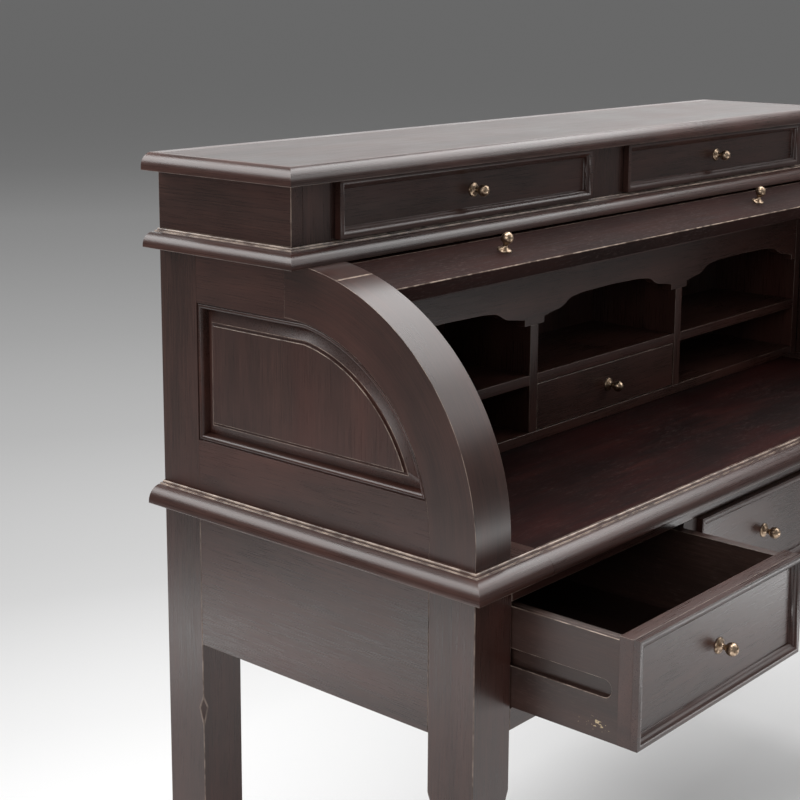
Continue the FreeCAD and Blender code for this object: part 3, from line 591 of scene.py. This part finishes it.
# ---- Writing leaf ---------------------------------------------------------------------------
# The middle of the desk top is a leaf that slides forward on tongues. Its face is a redder
# brown than the case, and has been scuffed pale by use. The same moulding runs along its front.
leaf_tones = ((0.0016, 0.0006, 0.0005), (0.0070, 0.0019, 0.0016), (0.031, 0.0082, 0.0066))
leaf_wood = stained_wood("reddish writing leaf wood", "X", leaf_tones, satin=0.64, flecks=0.09, gloss=0.05)
low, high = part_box("writing_leaf_nose")
leaf_low, leaf_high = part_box("writing_leaf_board")
bm = bmesh.new()
board(bm, (low.x, front, leaf_low.z), (high.x, leaf_high.y, leaf_high.z))
ease(bm, 0.6 * mm, 0.6, 1)
tongue_front = front + 248 * mm
tongue_level = (leaf_low.z + leaf_high.z) / 2
for x0, x1 in ((leaf_low.x, low.x + 1 * mm), (high.x - 1 * mm, leaf_high.x)):
    board(bm, (x0, tongue_front, tongue_level - 4 * mm), (x1, leaf_high.y, tongue_level + 3.6 * mm))
fit(bm, "writing_leaf_face", leaf_wood, "writing_leaf_board", body="writing_leaf",
    slot="writing_surface_wood")
bm = bmesh.new()
rounded_edge(bm, (low.x, front, high.z), (high.x - low.x, 0, 0), (0, -1, 0), high.z - low.z, 0, 0)
fit(bm, "edge_leaf", across_wood, "writing_leaf_nose", body="writing_leaf", slot="writing_surface_wood")

# ---- Curved side rails ----------------------------------------------------------------------
# A thick rail at each end is sawn to a quarter circle and carries the lid in a groove. Its
# broad outer face is polished smooth, and its edges have been rubbed pale.
roll = [joint for joint in frame["joints"] if joint["name"] == "roll_lid_turn"][0]
pivot = Vector(roll["pos_m"])
rail_low, rail_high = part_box("curved_rail_left")
rail_radius = pivot.y - rail_low.y
member = 74 * mm
groove_foot = 302.15 * mm
groove_top = 310.85 * mm
groove_deep = 10 * mm
pale_from, pale_to = 73.2, 73.7
curved_wood = stained_wood("stained wood, grain along the curve", "Y", stain, follows="grain", relief=0.04)


def about_pivot(radius, angle, x):
    """Point on a circle round the roll's pivot; 0 degrees is straight to the front."""
    turn = math.radians(angle)
    return Vector((x, pivot.y - radius * math.cos(turn), pivot.z + radius * math.sin(turn)))


def curved_board(bm, outline, start, end, steps):
    """Sweep an outline of (x, radius) round the pivot from the start angle to the end angle."""
    face_layer(bm, "plank")
    before = set(bm.faces)
    ring = [bm.verts.new(about_pivot(radius, start, x)) for x, radius in outline]
    rim = [bm.edges.new((ring[i], ring[(i + 1) % len(ring)])) for i in range(len(ring))]
    swept = bmesh.ops.spin(bm, geom=ring + rim, cent=pivot, axis=(1, 0, 0),
                           angle=math.radians(start - end), steps=steps)
    last = [part for part in swept["geom_last"] if isinstance(part, bmesh.types.BMEdge)]
    bmesh.ops.contextual_create(bm, geom=rim)
    bmesh.ops.contextual_create(bm, geom=last)
    number_plank(bm, [face for face in bm.faces if face not in before])


def mark_grain(bm):
    """Store where each point lies along the curve, for the grain to follow."""
    grain = bm.verts.layers.float_vector.new("grain")
    for vert in bm.verts:
        away = vert.co - pivot
        radius = math.hypot(away.y, away.z)
        vert[grain] = (vert.co.x, math.atan2(away.z, -away.y) * rail_radius, radius)


for end, outward in both_ends:
    outer_x = edge * -outward
    inner_x = outer_x - outward * (rail_high.x - rail_low.x)
    groove_x = inner_x + outward * groove_deep
    outline = [(outer_x, rail_radius - member), (outer_x, rail_radius), (inner_x, rail_radius),
               (inner_x, groove_top), (groove_x, groove_top), (groove_x, groove_foot), (inner_x, groove_foot),
               (inner_x, rail_radius - member)]
    bm = bmesh.new()
    curved_board(bm, outline, 90.0, -14.0, 130)
    saw(bm, (0, 0, writing), (0, 0, -1), clear=True)
    ease(bm, 1.2 * mm, 0.75)
    worn = face_layer(bm, "worn")
    for angle in (pale_from, pale_to):
        saw(bm, pivot, about_pivot(1.0, angle + 90.0, 0.0) - Vector((0, pivot.y, pivot.z)))
    for face in bm.faces:
        away = face.calc_center_median() - pivot
        turn = math.degrees(math.atan2(away.z, -away.y))
        if pale_from < turn < pale_to and math.hypot(away.y, away.z) > rail_radius - 2 * mm:
            face[worn] = 1.0
    mark_grain(bm)
    fit(bm, f"sawn_curved_rail_{end}", curved_wood, f"curved_rail_{end}")

# ---- Side frames ----------------------------------------------------------------------------
# Behind each curved rail stand a rear stile, a top rail and a bottom rail, flush with it and
# sanded level, so that only faint lines show at the joints. A thin lining closes the inside.
frame_thickness = 28 * mm
stile_front = back - member
sill = writing + 73 * mm
head = pivot.z + rail_radius - member - 2.5 * mm
under_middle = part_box("middle_board")[0].z
inner_radius = rail_radius - member
lining_thick = 8 * mm
unit_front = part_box("pigeonhole_carcass")[0].y


def rise_angle(radius, height):
    """Angle at which a circle round the pivot reaches this height."""
    return math.degrees(math.asin((height - pivot.z) / radius))


def arc_chain(bm, radius, start, end, x, steps):
    """A row of points on a circle round the pivot."""
    first = bm.verts.new(about_pivot(radius, start, x))
    before = set(bm.verts)
    bmesh.ops.spin(bm, geom=[first], cent=pivot, axis=(1, 0, 0),
                   angle=math.radians(start - end), steps=steps)
    chain = [first] + [vert for vert in bm.verts if vert not in before]
    return sorted(chain, key=lambda vert: math.atan2(vert.co.z - pivot.z, pivot.y - vert.co.y))


for end, outward in both_ends:
    outer_x = edge * -outward
    inner_x = outer_x - outward * frame_thickness
    inwards = (-outward * frame_thickness, 0, 0)
    sill_foot = rise_angle(inner_radius, writing)
    xs = sorted((outer_x, inner_x))
    planed(f"rear_stile_{end}", upright_wood, [((xs[0], stile_front, writing), (xs[1], back, under_middle))],
           0.3 * mm, 0.0, 1, f"side_frame_{end}")
    bm = bmesh.new()
    chain = arc_chain(bm, inner_radius, sill_foot, rise_angle(inner_radius, sill), outer_x, 8)
    corners = [bm.verts.new((outer_x, stile_front, height)) for height in (sill, writing)]
    thicken(bm, bm.faces.new(chain + corners), inwards)
    ease(bm, 0.3 * mm, 0.0, 1)
    fit(bm, f"bottom_rail_{end}", deep_wood)
    bm = bmesh.new()
    chain = arc_chain(bm, inner_radius, rise_angle(inner_radius, head), 90.0, outer_x, 6)
    corners = [bm.verts.new((outer_x, y, height)) for y, height in
               ((pivot.y, under_middle), (stile_front, under_middle), (stile_front, head))]
    thicken(bm, bm.faces.new(chain + corners), inwards)
    ease(bm, 0.3 * mm, 0.0, 1)
    fit(bm, f"top_rail_{end}", deep_wood)
    bm = bmesh.new()
    lining_x = outer_x - outward * (rail_high.x - rail_low.x - lining_thick)
    chain = arc_chain(bm, inner_radius, sill_foot, 82.0, lining_x, 30)
    chain = [vert for vert in chain if vert.co.y < unit_front]
    for vert in [vert for vert in bm.verts if vert not in chain]:
        bm.verts.remove(vert)
    corners = [bm.verts.new((lining_x, unit_front, height)) for height in (chain[-1].co.z, writing)]
    thicken(bm, bm.faces.new(chain + corners), (-outward * lining_thick, 0, 0))
    fit(bm, f"inner_lining_{end}", upright_wood)

# ---- Side panels ----------------------------------------------------------------------------
# A raised panel fills each side: a flat field, a small step and a wide sloping margin. A thin
# moulded strip, mitred at the corners, holds it in the opening.


def opening_chain(bm, inset, x):
    """The opening's outline, shrunk by inset, as a row of points."""
    radius = inner_radius - inset
    low_z, high_z = sill + inset, head - inset
    chain = arc_chain(bm, radius, rise_angle(radius, low_z), rise_angle(radius, high_z), x, 26)
    return chain + [bm.verts.new((x, stile_front - inset, height)) for height in (high_z, low_z)]


panel_shape = ((0.2 * mm, 22 * mm), (0.2 * mm, 14 * mm), (9 * mm, 14 * mm), (24.6 * mm, 5.6 * mm),
               (25.2 * mm, 5.4 * mm), (28.4 * mm, 5.9 * mm), (28.9 * mm, 3.2 * mm), (29.8 * mm, 2.5 * mm))
panel_rubbed = (3, 6)
strip_high = 12.5 * mm
strip_steps = ((0.6 * mm, 0.0), (0.5 * mm, 0.8 * mm), (0.5 * mm, -0.9 * mm), (0.9 * mm, -0.7 * mm),
               (1.3 * mm, -0.2 * mm), (1.4 * mm, 0.35 * mm), (1.3 * mm, 1.0 * mm), (1.1 * mm, 1.7 * mm),
               (0.8 * mm, 2.4 * mm), (0.5 * mm, 3.6 * mm), (0.3 * mm, 4.45 * mm))
for end, outward in both_ends:
    outer_x = edge * -outward
    bm = bmesh.new()
    worn = face_layer(bm, "worn")
    ring = opening_chain(bm, panel_shape[0][0], outer_x - outward * panel_shape[0][1])
    field = bm.faces.new(ring)
    for number, (inset, deep) in enumerate(panel_shape[1:]):
        wanted = bmesh.new()
        places = [vert.co.copy() for vert in opening_chain(wanted, inset, outer_x - outward * deep)]
        wanted.free()
        raised = bmesh.ops.extrude_discrete_faces(bm, faces=[field])["faces"][0]
        for vert, place in zip(raised.verts, places):
            vert.co = place
        field = raised
        for line in field.edges:
            for face in line.link_faces:
                face[worn] = 0.75 if number in panel_rubbed and face is not field else face[worn]
    rim = [line for line in bm.edges if len(line.link_faces) == 1]
    bmesh.ops.contextual_create(bm, geom=rim)
    fit(bm, f"raised_panel_{end}", upright_wood, f"side_panel_{end}")
    bm = bmesh.new()
    foot = outer_x - outward * panel_shape[1][1]
    outline = [vert.co.copy() for vert in opening_chain(bm, 0.2 * mm, foot)]
    bm.free()
    bm = bmesh.new()
    edge_strip(bm, outline, (outward * strip_high, 0, 0), strip_steps)
    fit(bm, f"panel_strip_{end}", deep_wood)

# ---- Pigeonhole unit ------------------------------------------------------------------------
# A loose-looking shelf unit of thin boards stands at the back: two ends, a floor, a top, a
# back, two dividers and three shelves, housed into each other and glued.
unit_low, unit_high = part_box("pigeonhole_carcass")
upright = 20 * mm
shelf = 16 * mm
unit_back_board = 8 * mm
valance_deep = 18 * mm
bay_left = unit_low.x + upright
bay_right = unit_high.x - upright
planed("pigeonhole_ends", upright_wood,
       [(unit_low, (bay_left, unit_high.y, unit_high.z)), ((bay_right, unit_low.y, unit_low.z), unit_high),
        ((bay_left, unit_high.y - unit_back_board, unit_low.z + shelf),
         (bay_right, unit_high.y, unit_high.z - shelf))], 0.7 * mm, 0.25, 1, "pigeonhole_carcass")
planed("pigeonhole_floor_and_top", across_wood,
       [((bay_left, unit_low.y, unit_low.z), (bay_right, unit_high.y, unit_low.z + shelf)),
        ((bay_left, unit_low.y + valance_deep, unit_high.z - shelf), (bay_right, unit_high.y, unit_high.z))],
       0.7 * mm, 0.3, 1)
divider_low, divider_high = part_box("pigeonhole_dividers")
valance_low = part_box("valance")[0].z
bm = bmesh.new()
for x in (divider_low.x, divider_high.x - upright):
    notch = divider_low.y + valance_deep
    outline = ((divider_low.y, divider_low.z), (divider_high.y, divider_low.z),
               (divider_high.y, divider_high.z), (notch, divider_high.z), (notch, valance_low),
               (divider_low.y, valance_low))
    thicken(bm, outline_face(bm, [(x, y, z) for y, z in outline]), (upright, 0, 0))
ease(bm, 0.7 * mm, 0.3, 1)
fit(bm, "pigeonhole_uprights", upright_wood, "pigeonhole_dividers")
shelf_low, shelf_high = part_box("pigeonhole_shelves")
bays = ((shelf_low.x, divider_low.x), (divider_low.x + upright, divider_high.x - upright),
        (divider_high.x, shelf_high.x))
planed("pigeonhole_shelf_boards", across_wood,
       [((x0, shelf_low.y, shelf_low.z), (x1, shelf_high.y, shelf_high.z)) for x0, x1 in bays],
       0.7 * mm, 0.35, 1, "pigeonhole_shelves")

# ---- Valance --------------------------------------------------------------------------------
# One long board over the pigeonholes, fretsawn into a shallow arch over each bay, with a small
# square step and an ogee at both sides of each arch.
valance_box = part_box("valance")
tall = (unit_high.z - writing) / 272.0
arch = ((15.0, 187.0), (15.0, 197.0), (44.0, 202.0), (62.0, 204.0), (84.0, 217.0), (120.0, 220.5))
bm = bmesh.new()
y = valance_box[0].y
points = [(valance_box[0].x, y, valance_box[1].z)]
for x0, x1 in bays:
    points.append((x0, y, valance_low))
    for out, height in arch:
        points.append((x0 + out * mm, y, writing + height * tall))
    points.append(((x0 + x1) / 2, y, writing + 222.0 * tall))
    for out, height in reversed(arch):
        points.append((x1 - out * mm, y, writing + height * tall))
    points.append((x1, y, valance_low))
points.append((valance_box[1].x, y, valance_box[1].z))
sawn = outline_face(bm, points)
curve = [vert for vert in sawn.verts if writing + 200.0 * tall < vert.co.z < writing + 221.0 * tall]
round_corners(bm, curve, 11 * mm, 5, clamped=True)
thicken(bm, bm.faces[:][0], (0, valance_deep, 0))
ease(bm, 0.6 * mm, 0.3, 1, sharper_than=40.0)
fit(bm, "fretsawn_valance", across_wood, "valance")

# ---- Small inner drawer ---------------------------------------------------------------------
# A plain fronted drawer without a bead, under the middle pigeonhole, with the same brass knob.
inner_low, inner_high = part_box("inner_drawer_front")
planed("inner_drawer_board", across_wood, [(inner_low, inner_high)], 1.0 * mm, 0.45, 2, "inner_drawer_front",
       body="inner_drawer")
spot = Vector(((inner_low.x + inner_high.x) / 2, inner_low.y, (inner_low.z + inner_high.z) / 2))
drawer_knob("inner_drawer_knob", "inner_drawer", spot, inner_high.y - inner_low.y)
drawer_box("inner_drawer_box", "inner_drawer", 9 * mm)

# ---- Closing board behind the lid -----------------------------------------------------------
# A thin curved board fixed over the pigeonholes closes the space above the shut lid. It is out
# of sight while the lid stands open.
stain_node("lid_closing_board", across_wood)

# ---- Rolling lid ----------------------------------------------------------------------------
# A curved panel with a stout front rail, both coopered from narrow staves and stained. The top
# is scuffed all over, and its front edge is rubbed to bare wood. Two brass knobs lift it.
lid_outer = rail_radius - 4.5 * mm
lid_thick = 24 * mm
lid_inner = lid_outer - lid_thick
lid_low, lid_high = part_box("lid_panel")
travel = math.radians(70.006)
rail_from, rail_to = -10.0, 12.0
closed_gap = 0.4 * mm
lid_tones = ((0.0075, 0.0033, 0.0028), (0.0165, 0.0072, 0.0060), (0.033, 0.0136, 0.0110))
lid_wood = stained_wood("scuffed lid wood", "X", lid_tones, satin=0.62, flecks=0.15, gloss=0.06, relief=0.3)
back_panel = 6 * mm
behind_lid = 1.5 * mm
tail_angle = 180.0 - math.degrees(math.acos((back - back_panel - behind_lid - pivot.y) / lid_outer))
section = ((lid_low.x, lid_inner), (lid_low.x, lid_outer), (lid_high.x, lid_outer), (lid_high.x, lid_inner))
rail_back_angle = rail_to + math.degrees(travel)
bm = bmesh.new()
curved_board(bm, section, tail_angle, rail_back_angle, 46)
ease(bm, 0.6 * mm, 0.4, 1)
fit(bm, "coopered_lid_panel", lid_wood, "lid_panel", body="roll_lid")
bm = bmesh.new()
curved_board(bm, section, rail_to, rail_from, 18)
saw(bm, (0, 0, writing + closed_gap), (0, 0, -1), clear=True)
bmesh.ops.rotate(bm, cent=pivot, matrix=Matrix.Rotation(-travel, 3, "X"), verts=bm.verts)
ease(bm, 1.2 * mm, 0.95)
worn = face_layer(bm, "worn")
for face in bm.faces:
    middle = face.calc_center_median()
    if (middle - pivot).length ** 2 - middle.x ** 2 < (lid_outer - 3 * mm) ** 2:
        face[worn] = 0.0
fit(bm, "lid_lifting_rail", lid_wood, "lid_front_rail", body="roll_lid")
knob_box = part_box("lid_knobs")
foot_angle = math.degrees(math.asin((pivot.z - writing - closed_gap) / lid_outer))
knob_angle = 7.4 - foot_angle + math.degrees(travel)
bm = bmesh.new()
knob_x = knob_box[1].x - 11 * mm
for x in (-knob_x, knob_x):
    spot = about_pivot(lid_outer - 0.15 * mm, knob_angle, x)
    away = (spot - Vector((x, pivot.y, pivot.z))).normalized()
    turned_knob(bm, spot, away)
    head_spot = spot - away * (lid_thick + screw_head_height / 2)
    screw_head(bm, head_spot, Vector((0, 0, 1)).rotation_difference(away).to_matrix().to_4x4())
fit(bm, "turned_lid_knobs", brass, "lid_knobs", body="roll_lid", slot="aged_brass")

# ---- Middle board ---------------------------------------------------------------------------
# A flat board covers the roll section and carries the upper case. The same beaded moulding is
# mitred round its front and sides.
middle_low, middle_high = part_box("middle_board")
case_front = middle_low.y
planed("middle_case_board", across_wood, [(middle_low, middle_high)], 0.5 * mm, 0.2, 1, "middle_board")


def three_sides(name, level, thickness, beaded, root, node):
    """A moulding along the front, and one along both sides, mitred where they meet."""
    bm = bmesh.new()
    rounded_edge(bm, (edge, case_front, level), (-2 * edge, 0, 0), (0, -1, 0), thickness, 1, 1, beaded, root)
    fit(bm, f"{name}_front", across_wood, node)
    bm = bmesh.new()
    for x, outward in ((edge, -1), (-edge, 1)):
        rounded_edge(bm, (x, back, level), (0, case_front - back, 0), (outward, 0, 0), thickness, 0, 1,
                     beaded, root)
    fit(bm, f"{name}_sides", deep_wood)


three_sides("edge_middle", middle_high.z, middle_high.z - middle_low.z, True, 0.0, "middle_edge")

# ---- Upper case -----------------------------------------------------------------------------
# A shallow case for two drawers: solid ends, front stiles and a wide middle stile, with guide
# boards behind them.
case_low, case_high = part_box("upper_case_left")
stile_deep = 22 * mm
end_thick = 22 * mm
guide_front = case_front + stile_deep
guide_thick = 18 * mm
guide_high = 40 * mm
end_width = case_high.x - case_low.x
for end, outward in both_ends:
    outer_x = edge * -outward
    stile_x = outer_x - outward * end_thick
    last_x = outer_x - outward * end_width
    bm = bmesh.new()
    xs = sorted((outer_x, stile_x))
    board(bm, (xs[0], case_front, case_low.z), (xs[1], back, case_high.z))
    ease(bm, 0.8 * mm, 0.7)
    worn = face_layer(bm, "worn")
    for face in bm.faces:
        if abs(face.calc_center_median().x - outer_x) > 2 * mm:
            face[worn] = 0.0
    fit(bm, f"upper_case_end_{end}", deep_wood, f"upper_case_{end}")
    xs = sorted((stile_x, last_x))
    planed(f"upper_case_stile_{end}", upright_wood,
           [((xs[0], case_front, case_low.z), (xs[1], guide_front, case_high.z))], 0.3 * mm, 0.0, 1)
    bm = bmesh.new()
    xs = sorted((last_x + outward * guide_thick, last_x))
    board(bm, (xs[0], guide_front, case_low.z), (xs[1], back - back_panel, case_low.z + guide_high))
    fit(bm, f"upper_drawer_guide_{end}", inside_wood)
centre_low, centre_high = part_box("upper_case_centre")
planed("upper_case_middle_stile", upright_wood,
       [(centre_low, (centre_high.x, centre_low.y + stile_deep, centre_high.z))], 0.9 * mm, 0.45, 2,
       "upper_case_centre")
bm = bmesh.new()
for x in (centre_low.x, centre_high.x - guide_thick):
    board(bm, (x, centre_low.y + stile_deep, centre_low.z), (x + guide_thick, centre_high.y, centre_high.z))
fit(bm, "upper_drawer_partitions", inside_wood)

# ---- Upper drawers --------------------------------------------------------------------------
# Two long shallow drawers, made and fitted like the lower ones.
for side in ("left", "right"):
    body = f"upper_drawer_{side}"
    spot = drawer_front(f"{body}_front", body, front_thick, across_wood)
    drawer_knob(f"{body}_knob", body, spot, front_thick)
    drawer_box(f"{body}_box", body, 12 * mm)

# ---- Top ------------------------------------------------------------------------------------
# A flat veneered panel with a plain rounded edge mitred round its front and sides and a straight
# strip along the back. A fine open groove runs between the panel and its edges.
cap_tones = ((0.014, 0.009, 0.0075), (0.030, 0.018, 0.015), (0.052, 0.030, 0.024))
cap_wood = stained_wood("stained wood of the top", "X", cap_tones, satin=0.40)
top_low, top_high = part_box("top_panel")
planed("top_veneered_panel", cap_wood, [(top_low, top_high)], 0.4 * mm, 0.3, 1, "top_panel")
panel_out = 10 * mm
three_sides("edge_top", top_high.z, top_high.z - top_low.z, False, panel_out, "top_edge_moulding")
planed("top_back_strip", across_wood,
       [((top_low.x, top_high.y, top_low.z), (top_high.x, back, top_high.z))], 1.2 * mm, 0.2, 2)

# ---- Floor, light and camera ----------------------------------------------------------------
# A pale paper floor in a grey surround. Its grey is painted light falloff, pale near the desk and darker a
# few metres out, and near the desk it glows, a painted glow that fills in the desk's shadow. Six large soft
# boxes stand over, behind and at both sides of the desk, and two narrow strips lie near the floor; all but
# the first two light the desk and not the floor.
scene = bpy.context.scene
bm = bmesh.new()
bmesh.ops.create_circle(bm, cap_ends=True, segments=96, radius=1500.0)
mesh = bpy.data.meshes.new("studio_floor")
bm.to_mesh(mesh)
bm.free()
floor = bpy.data.objects.new("studio_floor", mesh)
scene.collection.objects.link(floor)
paper = bpy.data.materials.new("floor paper with painted falloff and glow")
paper.use_nodes = True
tree = paper.node_tree
link = tree.links.new
place = tree.nodes.new("ShaderNodeTexCoord")
centred = tree.nodes.new("ShaderNodeMapping")
centred.vector_type = "TEXTURE"
dial(centred, {"Location": (-0.9, -0.4, 0.0), "Scale": (12.0, 12.0, 12.0)})
link(place.outputs["Object"], centred.inputs["Vector"])
away = tree.nodes.new("ShaderNodeTexGradient")
away.gradient_type = "SPHERICAL"
link(centred.outputs["Vector"], away.inputs["Vector"])
# Painted light falloff: the paper's grey is pale within a metre of the desk, darkest about four metres out
# and a little lighter again far off. It stands in for the lamps' light fading with distance.
paper_greys_with_painted_falloff = ((0.0, 0.56), (0.25, 0.62), (0.55, 0.47), (0.68, 0.44), (0.78, 0.49), (0.86, 0.58),
               (0.92, 0.72), (1.0, 0.88))
tone = colour_ramp(tree, [(spot, (grey, grey, grey)) for spot, grey in paper_greys_with_painted_falloff])
link(away.outputs["Fac"], tone.inputs["Fac"])
shader = tree.nodes["Principled BSDF"]
link(tone.outputs["Color"], shader.inputs["Base Color"])
dial(shader, {"Roughness": 0.9, "Emission Strength": 1.0})
# Painted glow: the floor paper gives off light within about two metres of the desk, though it is no lamp.
# This fills in the desk's shadow on the floor and lights the desk's undersides.
painted_glow = colour_ramp(tree, ((0.80, (0, 0, 0)), (0.95, (0.38, 0.38, 0.38))))
link(away.outputs["Fac"], painted_glow.inputs["Fac"])
link(painted_glow.outputs["Color"], shader.inputs["Emission Color"])
mesh.materials.append(paper)

world = bpy.data.worlds.new("grey surround")
world.use_nodes = True
dial(world.node_tree.nodes["Background"], {"Color": (0.23, 0.23, 0.23, 1), "Strength": 1.0})
scene.world = world
scene.view_settings.view_transform = "Standard"


def soft_light(name, place, target, width, height, watts, lights_only=None):
    """A large plain soft box, out of the camera's sight."""
    lamp = bpy.data.lights.new(name, "AREA")
    lamp.shape = "RECTANGLE"
    lamp.size = width
    lamp.size_y = height
    lamp.energy = watts
    box = bpy.data.objects.new(name, lamp)
    scene.collection.objects.link(box)
    box.location = place
    box.rotation_euler = (Vector(target) - Vector(place)).to_track_quat("-Z", "Y").to_euler()
    box.visible_camera = False
    box.light_linking.receiver_collection = lights_only


object_only = bpy.data.collections.new("lit by the desk lights")
object_only.objects.link(floor)
object_only.collection_objects[0].light_linking.link_state = "EXCLUDE"
soft_light("light over the desk", (-0.2, 0.9, 5.6), (-0.2, 0.7, 0.0), 5.5, 4.6, 330)
soft_light("light high at the right", (1.9, 0.05, 3.4), (-0.7, 0.0, 1.1), 2.6, 2.0, 70)
soft_light("light at the right", (1.7, -1.7, 2.5), (-0.7, -0.1, 1.0), 1.6, 1.3, 15, object_only)
soft_light("light high behind", (-1.8, 2.3, 3.2), (-0.6, 0.0, 1.1), 2.8, 1.8, 85, object_only)
soft_light("light at the left", (-3.8, -0.9, 2.1), (-0.4, 0.1, 1.2), 2.4, 1.3, 34, object_only)
soft_light("light low behind", (3.9, 3.5, 2.3), (0, 0, 1.2), 5.5, 2.2, 43, object_only)
soft_light("strip light on the floor at the left", (-1.75, 0.85, 0.06), (-0.7, 0.1, 0.35), 1.6, 0.14, 2.6,
           object_only)
soft_light("strip light on the floor at the right", (0.75, -1.45, 0.22), (-0.3, -0.4, 0.6), 1.2, 0.25, 5.0,
           object_only)

lens = bpy.data.cameras.new("camera")
lens.sensor_width = 36.0
lens.lens = 73.506
lens.shift_y = -0.1375
camera = bpy.data.objects.new("camera", lens)
scene.collection.objects.link(camera)
view_right = Vector((0.65784, -0.75314, 0.005))
view_up = Vector((0.13555, 0.12493, 0.98286))
view_back = Vector((-0.74086, -0.64589, 0.18427))
turn = Matrix((view_right, view_up, view_back)).transposed()
camera.matrix_world = Matrix.Translation((-2.2, -1.1663 + front, 1.4715)) @ turn.to_4x4()
scene.camera = camera
